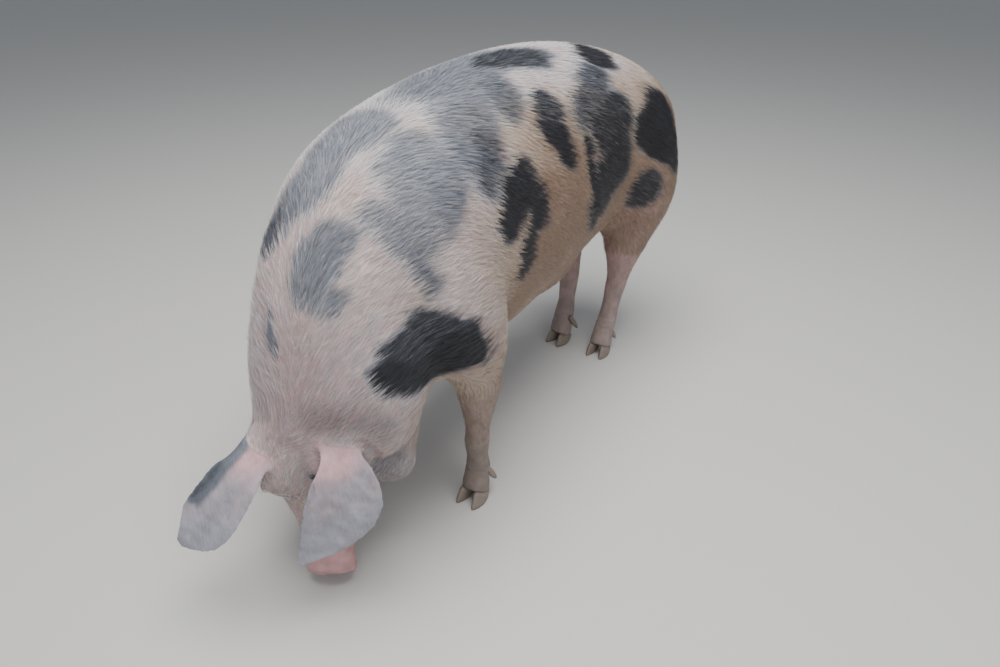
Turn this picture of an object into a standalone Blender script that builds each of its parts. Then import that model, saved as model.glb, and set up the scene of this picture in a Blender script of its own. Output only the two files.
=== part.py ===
"""A big spotted sow, life size, standing with her head down to feed.

Metres, +Z up.  +X is the way she faces, +Y her left side, the floor is z = 0.
Her flesh is modelled whole, from lofted volumes that a voxel remesh runs together, and is then
parted by thin cuts into trunk, neck, head, snout, tail, and upper and lower legs.
Ears, eyes and claws are pieces of their own.
"""
import math

import bmesh
import bpy
from mathutils import Matrix, Vector

# ---------------------------------------------------------------- driving dimensions
GAP = 0.0003                 # clear space between pieces that touch
VOXEL = 0.0085               # cell of the remesh that runs the volumes together
FLESH_TRIANGLES = 3900       # the whole flesh, before the cuts
RING = 28                    # points round each lofted ring

# The spine's sideways bow: the trunk bends so that rump and head both swing to her left.
BOW_LOW_X = -0.22            # where the back lies furthest to her right
BOW_Y = -0.028
BOW_REAR = 0.25              # sideways swing per square metre of length, behind that place
BOW_FRONT = 0.12             # and ahead of it

# Trunk rings: x, top, bottom, half width, height of the widest place (share of the depth)
TRUNK = (
    (-0.930, 0.650, 0.520, 0.060, 0.50),
    (-0.900, 0.725, 0.440, 0.140, 0.55),
    (-0.835, 0.790, 0.390, 0.188, 0.58),
    (-0.730, 0.838, 0.370, 0.210, 0.58),
    (-0.590, 0.867, 0.350, 0.222, 0.55),
    (-0.420, 0.875, 0.310, 0.232, 0.52),
    (-0.220, 0.868, 0.285, 0.232, 0.52),
    (-0.050, 0.851, 0.295, 0.220, 0.54),
    (0.080, 0.823, 0.335, 0.207, 0.56),
    (0.190, 0.768, 0.385, 0.174, 0.56),
    (0.270, 0.680, 0.450, 0.110, 0.54),
)
TRUNK_POWER = 2.15           # superellipse power of a trunk ring

# Neck rings: centre x, y, z, pitch below level in degrees, half width, above, below
NECK = (
    (0.020, -0.010, 0.600, 8, 0.180, 0.220, 0.250),
    (0.120, -0.008, 0.570, 26, 0.180, 0.215, 0.215),
    (0.195, 0.000, 0.515, 46, 0.166, 0.185, 0.190),
    (0.245, 0.008, 0.440, 64, 0.164, 0.142, 0.190),
    (0.268, 0.012, 0.365, 78, 0.152, 0.115, 0.165),
    (0.275, 0.016, 0.300, 88, 0.125, 0.090, 0.130),
)

# Head: its own frame at the poll, with U down the face, F out of the face, L to her left
POLL = Vector((0.378, 0.026, 0.352))
HEAD_YAW = 33.0              # degrees that the head turns to her left
HEAD_TILT = 2.0              # degrees that the snout is carried back from upright
HEAD_LENGTH = 0.336

# Head rings: place along U, face line along F, throat line along F, half width, power
HEAD = (
    (-0.045, -0.060, -0.170, 0.055, 2.0),
    (-0.015, -0.014, -0.215, 0.094, 2.1),
    (0.030, 0.004, -0.232, 0.112, 2.2),
    (0.075, 0.006, -0.228, 0.117, 2.3),
    (0.115, -0.008, -0.205, 0.107, 2.3),
    (0.155, -0.025, -0.182, 0.088, 2.3),
    (0.200, -0.031, -0.156, 0.073, 2.3),
    (0.250, -0.028, -0.132, 0.056, 2.3),
    (0.295, -0.014, -0.108, 0.049, 2.3),
    (0.326, -0.010, -0.086, 0.044, 2.2),
)

# Mounds of fat and muscle on the head: centre (u, f, l), radii along L, F and U
PAIRED_MOUNDS = {
    "brow": ((0.065, -0.030, 0.056), (0.044, 0.040, 0.060)),
    "cheek": ((0.105, -0.135, 0.068), (0.052, 0.080, 0.090)),
    "ear_root": ((0.005, -0.050, 0.078), (0.030, 0.042, 0.042)),
}
SINGLE_MOUNDS = {
    "left_jowl": ((0.070, -0.158, 0.108), (0.080, 0.096, 0.098)),
    "left_cheek_roll": ((0.110, -0.094, 0.132), (0.050, 0.052, 0.044)),
    "right_jowl": ((0.072, -0.168, -0.066), (0.066, 0.084, 0.095)),
    "chin": ((0.278, -0.094, 0.000), (0.032, 0.022, 0.034)),
    "left_ear_bulge": ((0.026, -0.002, 0.030), (0.036, 0.030, 0.044)),
}

DISC_LEAN = 42.0             # degrees that the snout's disc is turned up as she feeds
DISC_RADIUS = 0.046
DISC_BACK, DISC_F, DISC_L = 0.022, -0.038, 0.006  # its root, from the end of the head
# Disc rings: place along its axis, share of its radius
DISC = ((-0.030, 0.80), (-0.008, 0.97), (0.004, 1.06), (0.014, 1.08), (0.019, 1.0))
DISC_ABOVE, DISC_BELOW = 0.80, 0.71  # its half heights, as shares of its half width
NOSTRIL_SPREAD, NOSTRIL_RISE = 0.019, 0.004
NOSTRIL_RADII = (0.0075, 0.0105, 0.016)

# Mounds under the trunk: centre, radii along X, Y and Z
BRISKET = ((0.09, 0.0, 0.385), (0.13, 0.10, 0.085))
UDDER = ((-0.46, 0.01, 0.350), (0.24, 0.12, 0.060))

# Legs, left side: x, y, z, half width, fore, aft; y is measured out from the pair's midline,
# which is mid at the feet and top where the leg is part of the trunk
FRONT_LEG = (
    (0.078, 0.085, 0.715, 0.060, 0.085, 0.090),
    (0.078, 0.118, 0.640, 0.078, 0.122, 0.128),
    (0.080, 0.135, 0.540, 0.085, 0.130, 0.136),
    (0.060, 0.142, 0.440, 0.080, 0.105, 0.104),
    (0.025, 0.136, 0.355, 0.060, 0.078, 0.064),
    (0.008, 0.126, 0.295, 0.048, 0.056, 0.052),
    (0.004, 0.121, 0.235, 0.037, 0.040, 0.043),
    (0.005, 0.118, 0.185, 0.029, 0.032, 0.031),
    (0.007, 0.117, 0.150, 0.028, 0.031, 0.030),
    (0.006, 0.116, 0.110, 0.024, 0.024, 0.026),
    (0.006, 0.116, 0.075, 0.029, 0.027, 0.032),
    (0.016, 0.116, 0.045, 0.032, 0.030, 0.032),
    (0.026, 0.116, 0.020, 0.032, 0.034, 0.032),
)
HIND_LEG = (
    (-0.750, 0.080, 0.750, 0.070, 0.090, 0.080),
    (-0.765, 0.105, 0.675, 0.098, 0.135, 0.112),
    (-0.772, 0.120, 0.580, 0.108, 0.160, 0.128),
    (-0.766, 0.120, 0.480, 0.106, 0.148, 0.130),
    (-0.762, 0.110, 0.400, 0.086, 0.108, 0.118),
    (-0.755, 0.094, 0.330, 0.062, 0.068, 0.086),
    (-0.760, 0.082, 0.270, 0.044, 0.044, 0.060),
    (-0.765, 0.074, 0.215, 0.034, 0.034, 0.040),
    (-0.758, 0.070, 0.175, 0.029, 0.032, 0.030),
    (-0.742, 0.067, 0.125, 0.026, 0.026, 0.027),
    (-0.725, 0.065, 0.085, 0.030, 0.028, 0.032),
    (-0.705, 0.064, 0.050, 0.033, 0.030, 0.032),
    (-0.692, 0.063, 0.022, 0.033, 0.034, 0.032),
)
FEET = {
    "front_left": dict(leg=FRONT_LEG, mid=0.018, top=-0.005, side=1, shift=-0.012, turn=-4),
    "front_right": dict(leg=FRONT_LEG, mid=0.004, top=-0.012, side=-1, shift=0.035, turn=6),
    "hind_left": dict(leg=HIND_LEG, mid=0.080, top=0.052, side=1, shift=0.006, turn=-4),
    "hind_right": dict(leg=HIND_LEG, mid=0.076, top=0.052, side=-1, shift=-0.002, turn=-16),
}
LEG_FREE_Z, LEG_JOINED_Z = 0.28, 0.58  # the midline moves from the feet's to the trunk's between

CORONET_Z = 0.031            # height of the top of the claws, under the middle of the foot
CORONET_SLOPE = 22.0         # degrees that it rises towards the toe
CLAW_LENGTH = 0.068
CLAW_WIDTH = 0.033
CLAW_HALF_SPREAD = 0.0175    # from the foot's middle line to a claw's own
CLAW_SPLAY = 4.0             # degrees that each claw turns out from that line
DEWCLAW_LENGTH = 0.034
DEWCLAW_RADIUS = 0.0095

EYE_RADIUS = 0.0125
EYE_PROUD = 0.0035           # how far the ball stands out of the side of the face
EYE_U, EYE_F = 0.099, -0.026  # in the head's frame

EAR_THICK = 0.009            # at the root; the rim is half of that
EAR_STEPS, EAR_COLUMNS = 3, 6  # steps between two spine rows, and strips across
EAR_CUP = 0.016              # how far the rims curl back from the flat
# Ear spines in the head's frame (U down the face, F out of it, L left), and the half width there
EAR_LEFT = (
    (-0.004, -0.035, 0.064, 0.036),
    (-0.006, 0.026, 0.062, 0.044),
    (0.078, 0.054, 0.064, 0.070),
    (0.140, 0.064, 0.026, 0.052),
    (0.196, 0.074, -0.026, 0.008),
)
EAR_RIGHT = (
    (0.000, -0.040, -0.070, 0.040),
    (0.022, 0.010, -0.104, 0.044),
    (0.078, 0.036, -0.148, 0.053),
    (0.126, 0.046, -0.188, 0.050),
    (0.150, 0.050, -0.228, 0.010),
)

TAIL_ROOT = Vector((-0.890, 0.075, 0.715))
TAIL_LENGTH = 0.240
TAIL_THICK = 0.019
TAIL_REACH = 0.072           # from the root, inside the rump, back to where it hangs
TAIL_TURN = 0.30             # share of its length that it takes to turn over
TAIL_CURL = 0.017

DEWCLAW_BACK = -0.030        # from the middle of the foot
DEWCLAW_Z = 0.066

TEATS_A_SIDE = 7
TEAT_FIRST_X, TEAT_LAST_X = -0.09, -0.63
TEAT_SPREAD = 0.060          # from the belly's middle line
TEAT_RADIUS = 0.0075
TEAT_LENGTH = 0.020


# ---------------------------------------------------------------- scene and materials
for old in list(bpy.data.objects):
    bpy.data.objects.remove(old, do_unlink=True)


def make_material(name, colour, roughness):
    mat = bpy.data.materials.new(name)
    mat.use_nodes = True
    shader = mat.node_tree.nodes["Principled BSDF"]
    shader.inputs["Base Color"].default_value = (*colour, 1.0)
    shader.inputs["Roughness"].default_value = roughness
    shader.inputs["Metallic"].default_value = 0.0
    return mat


HIDE = make_material("hide", (0.62, 0.50, 0.45), 0.75)
EAR_SKIN = make_material("ear_skin", (0.60, 0.47, 0.45), 0.70)
SNOUT_SKIN = make_material("snout_skin", (0.70, 0.42, 0.40), 0.50)
CLAW_HORN = make_material("claw_horn", (0.16, 0.13, 0.11), 0.55)
EYE_GLOSS = make_material("eye_gloss", (0.05, 0.03, 0.02), 0.10)


# ---------------------------------------------------------------- small tools
def link(mesh, name):
    obj = bpy.data.objects.new(name, mesh)
    bpy.context.scene.collection.objects.link(obj)
    return obj


def drop(*objects):
    for obj in objects:
        bpy.data.objects.remove(obj, do_unlink=True)


def smoothed(rows, per_span):
    """Rows of numbers, run through a Catmull-Rom curve with per_span steps between rows."""
    out = []
    last = len(rows) - 1
    for i in range(last):
        before, here = rows[max(i - 1, 0)], rows[i]
        ahead, beyond = rows[i + 1], rows[min(i + 2, last)]
        for step in range(per_span):
            t = step / per_span
            row = []
            for a, b, c, d in zip(before, here, ahead, beyond):
                row.append(0.5 * (2 * b + (c - a) * t + (2 * a - 5 * b + 4 * c - d) * t * t
                                  + (3 * b - a - 3 * c + d) * t ** 3))
            out.append(row)
    out.append(list(rows[last]))
    return out


def ring(centre, side, up, half, above, below, power):
    """A closed superellipse, with its own half height above and below its widest line."""
    points = []
    for i in range(RING):
        angle = 2 * math.pi * i / RING
        c, s = math.cos(angle), math.sin(angle)
        across = half * math.copysign(abs(c) ** (2 / power), c)
        high = (above if s > 0 else below) * math.copysign(abs(s) ** (2 / power), s)
        points.append(centre + side * across + up * high)
    return points


def loft(rings, name):
    """A closed solid through rings of as many points each, fanned shut at both ends."""
    bm = bmesh.new()
    rows = [[bm.verts.new(p) for p in points] for points in rings]
    for a, b in zip(rows, rows[1:]):
        for i in range(len(a)):
            j = (i + 1) % len(a)
            bm.faces.new((a[i], a[j], b[j], b[i]))
    for row in (rows[0], rows[-1]):
        middle = bm.verts.new(sum((v.co for v in row), Vector()) / len(row))
        for i in range(len(row)):
            bm.faces.new((row[i], row[(i + 1) % len(row)], middle))
    bmesh.ops.recalc_face_normals(bm, faces=bm.faces)
    mesh = bpy.data.meshes.new(name)
    bm.to_mesh(mesh)
    bm.free()
    return link(mesh, name)


def ellipsoid(name, centre, axes, radii, segments=24):
    """An ellipsoid with its radii along three given axes."""
    bm = bmesh.new()
    bmesh.ops.create_uvsphere(bm, u_segments=segments, v_segments=segments // 2 + 2, radius=1.0)
    for v in bm.verts:
        v.co = centre + axes[0] * v.co.x * radii[0] + axes[1] * v.co.y * radii[1] \
            + axes[2] * v.co.z * radii[2]
    bmesh.ops.recalc_face_normals(bm, faces=bm.faces)
    mesh = bpy.data.meshes.new(name)
    bm.to_mesh(mesh)
    bm.free()
    return link(mesh, name)


def join(objects, name):
    bm = bmesh.new()
    for obj in objects:
        bm.from_mesh(obj.data)
    mesh = bpy.data.meshes.new(name)
    bm.to_mesh(mesh)
    bm.free()
    drop(*objects)
    return link(mesh, name)


def settle(obj):
    """Replace an object's mesh with what its modifiers make of it."""
    graph = bpy.context.evaluated_depsgraph_get()
    mesh = bpy.data.meshes.new_from_object(obj.evaluated_get(graph))
    obj.modifiers.clear()
    obj.data = mesh
    return obj


def boolean(obj, tool, operation):
    mod = obj.modifiers.new("cut", "BOOLEAN")
    mod.operation = operation
    mod.solver = "EXACT"
    mod.object = tool
    settle(obj)
    drop(tool)


def bow(x):
    """How far the spine lies from y = 0 at a place along the body."""
    off = x - BOW_LOW_X
    return BOW_Y + (BOW_FRONT if off > 0 else BOW_REAR) * off * off


X, Y, Z = Vector((1, 0, 0)), Vector((0, 1, 0)), Vector((0, 0, 1))
yaw = math.radians(HEAD_YAW)
tilt = math.radians(HEAD_TILT)
HEAD_F = Vector((math.cos(yaw), math.sin(yaw), 0))
HEAD_L = Vector((-math.sin(yaw), math.cos(yaw), 0))
HEAD_U = (-Z * math.cos(tilt) - HEAD_F * math.sin(tilt)).normalized()
HEAD_F = HEAD_L.cross(-HEAD_U).normalized()
HEAD_AXES = (HEAD_L, HEAD_F, HEAD_U)


def on_head(u, f, l):
    return POLL + HEAD_U * u + HEAD_F * f + HEAD_L * l


lean = math.radians(DISC_LEAN)
DISC_UP = HEAD_F * math.cos(lean) - HEAD_U * math.sin(lean)
DISC_OUT = HEAD_U * math.cos(lean) + HEAD_F * math.sin(lean)
DISC_ROOT = on_head(HEAD_LENGTH - DISC_BACK, DISC_F, DISC_L)
DISC_MIDDLE = DISC_ROOT + DISC_OUT * DISC[-1][0]


# ---------------------------------------------------------------- the volumes of the body
def make_trunk():
    rings = []
    for x, top, bottom, half, widest in smoothed(TRUNK, 3):
        middle = bottom + (top - bottom) * widest
        centre = Vector((x, bow(x), middle))
        rings.append(ring(centre, Y, Z, half, top - middle, middle - bottom, TRUNK_POWER))
    return loft(rings, "trunk_volume")


def make_neck():
    rings = []
    rows = smoothed(NECK, 3)
    for i, (x, y, z, pitch, half, above, below) in enumerate(rows):
        down = math.radians(pitch)
        turn = math.radians(HEAD_YAW * (i / (len(rows) - 1)) ** 1.5)
        level = Vector((math.cos(turn), math.sin(turn), 0))
        side = Vector((-math.sin(turn), math.cos(turn), 0))
        up = level * math.sin(down) + Z * math.cos(down)
        rings.append(ring(Vector((x, y, z)), side, up, half, above, below, 2.15))
    return loft(rings, "neck_volume")


def make_head():
    rings = []
    for u, face, throat, half, power in smoothed(HEAD, 3):
        middle = face * 0.45 + throat * 0.55
        rings.append(ring(on_head(u, middle, 0), HEAD_L, HEAD_F, half,
                          face - middle, middle - throat, power))
    parts = [loft(rings, "head_volume")]
    disc = []
    for out, share in DISC:
        wide = DISC_RADIUS * share
        disc.append(ring(DISC_ROOT + DISC_OUT * out, HEAD_L, DISC_UP, wide,
                         DISC_ABOVE * wide, DISC_BELOW * wide, HEAD[-1][-1]))
    parts.append(loft(disc, "disc_volume"))
    for name, ((u, f, l), radii) in PAIRED_MOUNDS.items():
        for side in (-1, 1):
            parts.append(ellipsoid(name, on_head(u, f, l * side), HEAD_AXES, radii))
    for name, ((u, f, l), radii) in SINGLE_MOUNDS.items():
        parts.append(ellipsoid(name, on_head(u, f, l), HEAD_AXES, radii))
    return parts


def leg_centre(spot, x, y, z):
    """Where a leg's row of numbers lies: the stride is given to the foot, and none to the hip."""
    stride = spot["shift"] * max(0.0, 1 - z / 0.5)
    joined = min(max((z - LEG_FREE_Z) / (LEG_JOINED_Z - LEG_FREE_Z), 0.0), 1.0)
    midline = spot["mid"] + (spot["top"] - spot["mid"]) * joined
    return Vector((x + stride, midline + spot["side"] * y, z))


def make_leg(spot):
    rings = []
    for x, y, z, half, fore, aft in smoothed(spot["leg"], 3):
        rings.append(ring(leg_centre(spot, x, y, z), Y, X, half, fore, aft, 2.1))
    return loft(rings, "leg_volume")


def make_flesh():
    parts = [make_trunk(), make_neck()] + make_head()
    parts += [make_leg(spot) for spot in FEET.values()]
    for name, (centre, radii) in (("brisket", BRISKET), ("udder", UDDER)):
        parts.append(ellipsoid(name, Vector(centre), (X, Y, Z), radii))
    flesh = join(parts, "flesh")
    remesh = flesh.modifiers.new("run together", "REMESH")
    remesh.mode = "VOXEL"
    remesh.voxel_size = VOXEL
    remesh.adaptivity = 0.0
    ease = flesh.modifiers.new("ease", "SMOOTH")
    ease.factor = 0.6
    ease.iterations = 5
    settle(flesh)
    thin = flesh.modifiers.new("thin out", "DECIMATE")
    thin.ratio = min(1.0, FLESH_TRIANGLES / (2 * len(flesh.data.polygons)))
    settle(flesh)
    return flesh


# ---------------------------------------------------------------- ears, tail, eyes, claws, teats
def leaf(centres, acrosses, halves, thick, cup, name):
    """A thin curved leaf: a grid on each face, walled round its rim."""
    faces_up, faces_down = [], []
    bm = bmesh.new()
    last = len(centres) - 1
    for i, (centre, across, half) in enumerate(zip(centres, acrosses, halves)):
        along = centres[min(i + 1, last)] - centres[max(i - 1, 0)]
        flat = (across - along * across.dot(along) / along.length_squared).normalized()
        out = flat.cross(along).normalized()
        up_row, down_row = [], []
        for j in range(EAR_COLUMNS + 1):
            v = 2 * j / EAR_COLUMNS - 1
            spot = centre + flat * half * v - out * cup * v * v * half
            wall = out * 0.5 * thick * (1 - 0.5 * abs(v)) * (1 - 0.4 * i / last)
            up_row.append(bm.verts.new(spot + wall))
            down_row.append(bm.verts.new(spot - wall))
        faces_up.append(up_row)
        faces_down.append(down_row)
    for rows in (faces_up, faces_down):
        for a, b in zip(rows, rows[1:]):
            for j in range(EAR_COLUMNS):
                bm.faces.new((a[j], a[j + 1], b[j + 1], b[j]))
    for j in range(EAR_COLUMNS):
        for row in (0, last):
            bm.faces.new((faces_up[row][j], faces_up[row][j + 1],
                          faces_down[row][j + 1], faces_down[row][j]))
    for i in range(last):
        for j in (0, EAR_COLUMNS):
            bm.faces.new((faces_up[i][j], faces_up[i + 1][j],
                          faces_down[i + 1][j], faces_down[i][j]))
    bmesh.ops.recalc_face_normals(bm, faces=bm.faces)
    bmesh.ops.triangulate(bm, faces=bm.faces)
    mesh = bpy.data.meshes.new(name)
    bm.to_mesh(mesh)
    bm.free()
    return link(mesh, name)


def make_ear(name, spine, across_root, across_tip):
    """A lop ear along its spine, given in the head's frame, widest at about half its length."""
    rows = smoothed(spine, EAR_STEPS)
    centres = [on_head(u, f, l) for u, f, l, _ in rows]
    halves = [half for _, _, _, half in rows]
    acrosses = []
    for i in range(len(rows)):
        mix = i / (len(rows) - 1)
        u, f, l = (a * (1 - mix) + b * mix for a, b in zip(across_root, across_tip))
        acrosses.append(HEAD_U * u + HEAD_F * f + HEAD_L * l)
    return leaf(centres, acrosses, halves, EAR_THICK, EAR_CUP, name)


def tube(path, radii, name, around):
    """A closed round solid along a path, with a radius at each of its points."""
    rings = []
    last = len(path) - 1
    for i, (centre, radius) in enumerate(zip(path, radii)):
        along = (path[min(i + 1, last)] - path[max(i - 1, 0)]).normalized()
        up = Y.cross(along).normalized()
        side = along.cross(up)
        rings.append([centre + side * radius * math.cos(a) + up * radius * math.sin(a)
                      for a in (2 * math.pi * k / around for k in range(around))])
    return loft(rings, name)


def make_tail():
    """The tail leaves the rump level, turns over and hangs in one loose twist."""
    path, radii = [], []
    steps = 14
    for i in range(steps + 1):
        t = i / steps
        reach = min(t / TAIL_TURN, 1.0)
        hang = max(0.0, t - TAIL_TURN * 0.6) / (1 - TAIL_TURN * 0.6)
        twist = math.radians(330) * hang
        path.append(TAIL_ROOT + Vector((-TAIL_REACH * math.sin(reach * math.pi / 2)
                                        - TAIL_CURL * math.sin(twist) * hang,
                                        TAIL_CURL * (1 - math.cos(twist)) * hang,
                                        -TAIL_LENGTH * hang ** 1.3)))
        radii.append(TAIL_THICK * (1 - 0.62 * t))
    return tube(path, radii, "tail", 8)


def make_eye(side, grow=0.0):
    centre = eye_middle[side]
    return ellipsoid("eye_left" if side > 0 else "eye_right", centre, (X, Y, Z),
                     (EYE_RADIUS + grow,) * 3, 12)


def make_nostril(side):
    middle = DISC_MIDDLE + HEAD_L * NOSTRIL_SPREAD * side + DISC_UP * NOSTRIL_RISE
    return ellipsoid("nostril", middle, (HEAD_L, DISC_UP, DISC_OUT), NOSTRIL_RADII, 8)


def foot_middle(spot):
    centre = leg_centre(spot, *spot["leg"][-1][:3])
    return Vector((centre.x, centre.y, 0.0))


def make_coronet_cutter(spot):
    """All that lies under the tops of one foot's claws."""
    middle = foot_middle(spot)
    turn = Matrix.Rotation(math.radians(spot["turn"]), 4, "Z")
    slope = Matrix.Rotation(-math.radians(CORONET_SLOPE), 4, "Y")
    bm = bmesh.new()
    bmesh.ops.create_cube(bm, size=1.0)
    bmesh.ops.scale(bm, vec=(0.16, 0.14, 0.10), verts=bm.verts)
    bmesh.ops.translate(bm, vec=(0, 0, -0.05), verts=bm.verts)
    place = Matrix.Translation(middle + Z * (CORONET_Z + GAP)) @ turn @ slope
    bmesh.ops.transform(bm, matrix=place, verts=bm.verts)
    mesh = bpy.data.meshes.new("coronet_cutter")
    bm.to_mesh(mesh)
    bm.free()
    return link(mesh, "coronet_cutter")


def make_claw(spot, side, name):
    """A main claw: a flat pointed sole, and walls that lean in to the slanting coronet."""
    middle = foot_middle(spot)
    turn = Matrix.Rotation(math.radians(spot["turn"]), 4, "Z")
    splay = Matrix.Rotation(math.radians(CLAW_SPLAY * side), 4, "Z")
    slope = math.tan(math.radians(CORONET_SLOPE))
    rings = []
    levels = 3
    for k in range(levels + 1):
        rise = k / levels
        half_length = CLAW_LENGTH / 2 * (1 - 0.20 * rise)
        half_width = CLAW_WIDTH / 2 * (1 - 0.06 * rise) * (0.90 + 0.10 * min(rise * 5, 1))
        forward = 0.010 - 0.016 * rise
        points = []
        for i in range(12):
            a = 2 * math.pi * i / 12
            x = forward + half_length * math.cos(a)
            narrow = 1 - 0.38 * max(0.0, math.cos(a)) ** 1.5
            y = half_width * math.sin(a) * narrow
            if y * side < 0:
                y *= 0.72
            y += CLAW_HALF_SPREAD * side * (1 - 0.10 * rise)
            spot_in_foot = splay @ Vector((x, y, 0.0))
            spot_in_foot.z = (CORONET_Z + slope * spot_in_foot.x) * rise
            points.append(middle + turn @ spot_in_foot)
        rings.append(points)
    return loft(rings, name)


def make_dewclaw(spot, side, name, grow=0.0):
    """A dewclaw: a short blunt cone that points down behind the fetlock."""
    middle = foot_middle(spot)
    turn = Matrix.Rotation(math.radians(spot["turn"]), 4, "Z")
    root = middle + turn @ Vector((DEWCLAW_BACK, 0.020 * side, DEWCLAW_Z))
    point = (turn @ Vector((-0.45, 0.28 * side, -0.85))).normalized()
    shape = ((-0.45, 0.85), (0.20, 1.0), (0.75, 0.70), (1.0, 0.25))
    path = [root + point * (DEWCLAW_LENGTH * t + (grow if t > 0.9 else 0.0)) for t, _ in shape]
    radii = [DEWCLAW_RADIUS * wide + grow for _, wide in shape]
    return tube(path, radii, name, 7)


def make_teat(x, side):
    y = bow(x) + side * TEAT_SPREAD
    depth = belly_height(x, y)
    shape = ((-0.012, 1.3), (0.010, 1.0), (TEAT_LENGTH, 0.65))
    path = [Vector((x, y + side * 0.2 * drop, depth - drop)) for drop, _ in shape]
    return tube(path, [TEAT_RADIUS * wide for _, wide in shape], "teat", 5)


# ---------------------------------------------------------------- cutting and naming
def grown(obj):
    copy = link(obj.data.copy(), "grown_copy")
    swell = copy.modifiers.new("grow", "DISPLACE")
    swell.strength = GAP
    swell.mid_level = 0.0
    return settle(copy)


def biggest(obj):
    """Keep only the largest loose piece of a mesh."""
    bm = bmesh.new()
    bm.from_mesh(obj.data)
    islands = loose_pieces(bm)
    islands.sort(key=len)
    doomed = [face for island in islands[:-1] for face in island]
    bmesh.ops.delete(bm, geom=doomed, context="FACES")
    bm.to_mesh(obj.data)
    bm.free()
    return obj


def loose_pieces(bm):
    seen, islands = set(), []
    for start in bm.faces:
        if start in seen:
            continue
        island, stack = [], [start]
        seen.add(start)
        while stack:
            face = stack.pop()
            island.append(face)
            for edge in face.edges:
                for other in edge.link_faces:
                    if other not in seen:
                        seen.add(other)
                        stack.append(other)
        islands.append(island)
    return islands


def slab(centre, normal, along, half_along, half_across):
    """A thin box whose thickness, the gap between two nodes, lies along the normal."""
    normal = normal.normalized()
    along = (along - normal * along.dot(normal)).normalized()
    across = normal.cross(along)
    bm = bmesh.new()
    bmesh.ops.create_cube(bm, size=1.0)
    for v in bm.verts:
        x, y, z = v.co
        v.co = centre + along * 2 * half_along * x + across * 2 * half_across * y + normal * GAP * z
    bmesh.ops.recalc_face_normals(bm, faces=bm.faces)
    mesh = bpy.data.meshes.new("slab")
    bm.to_mesh(mesh)
    bm.free()
    return link(mesh, "slab")


def tidy(obj):
    """Weld slivers left by the cuts, and leave plain triangles."""
    bm = bmesh.new()
    bm.from_mesh(obj.data)
    bmesh.ops.dissolve_degenerate(bm, edges=bm.edges, dist=1e-5)
    bmesh.ops.triangulate(bm, faces=bm.faces)
    bm.to_mesh(obj.data)
    bm.free()
    return obj


def part_at(seeds, whole):
    """Split the cut flesh into loose pieces: each seed names the piece whose middle is nearest."""
    bm = bmesh.new()
    bm.from_mesh(whole.data)
    islands = [(piece_middle(island), island) for island in loose_pieces(bm)]
    made = {}
    for name, seed in seeds.items():
        middle, island = min(islands, key=lambda pair: (pair[0] - seed).length)
        verts = list({v: None for face in island for v in face.verts})
        index = {v: i for i, v in enumerate(verts)}
        mesh = bpy.data.meshes.new(name)
        mesh.from_pydata([v.co for v in verts], [],
                         [[index[v] for v in face.verts] for face in island])
        made[name] = tidy(link(mesh, name))
    bm.free()
    drop(whole)
    return made


def piece_middle(island):
    weight = sum(face.calc_area() for face in island)
    return sum((face.calc_center_median() * face.calc_area() for face in island), Vector()) / weight


def leg_at(spot, z):
    """The middle of a leg's section at a height."""
    x, y = min(smoothed(spot["leg"], 3), key=lambda row: abs(row[2] - z))[:2]
    return leg_centre(spot, x, y, z)


# ---------------------------------------------------------------- the model
whole = make_flesh()


def belly_height(x, y):
    hit, place, _, _ = whole.ray_cast(Vector((x, y, -1.0)), Z)
    return place.z if hit else 0.3


# Each eye sits so far in that only its front stands out of the side of the face
eye_middle = {}
for side in (-1, 1):
    _, face_side, _, _ = whole.ray_cast(on_head(EYE_U, EYE_F, 0.4 * side), -HEAD_L * side)
    eye_middle[side] = face_side - HEAD_L * side * (EYE_RADIUS - EYE_PROUD)


teats = []
for n in range(TEATS_A_SIDE):
    x = TEAT_FIRST_X + (TEAT_LAST_X - TEAT_FIRST_X) * n / (TEATS_A_SIDE - 1)
    teats += [make_teat(x, side) for side in (-1, 1)]
boolean(whole, join(teats, "teats"), "UNION")
boolean(whole, join([make_coronet_cutter(spot) for spot in FEET.values()], "coronets"),
        "DIFFERENCE")
boolean(whole, join([make_eye(side, GAP) for side in (-1, 1)]
                    + [make_nostril(side) for side in (-1, 1)], "sockets"), "DIFFERENCE")
boolean(whole, join([make_dewclaw(spot, side, "dew", GAP) for spot in FEET.values()
                     for side in (-1, 1)], "dewclaw_sockets"), "DIFFERENCE")

pieces = {}
for name, obj in (
        ("ear_left", make_ear("ear_left", EAR_LEFT, (0.05, -0.25, 0.97), (0.70, -0.05, 0.71))),
        ("ear_right", make_ear("ear_right", EAR_RIGHT, (-0.55, -0.45, -0.70), (-0.85, -0.48, -0.22))),
        ("tail", make_tail())):
    boolean(obj, grown(whole), "DIFFERENCE")
    pieces[name] = tidy(biggest(obj))

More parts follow.
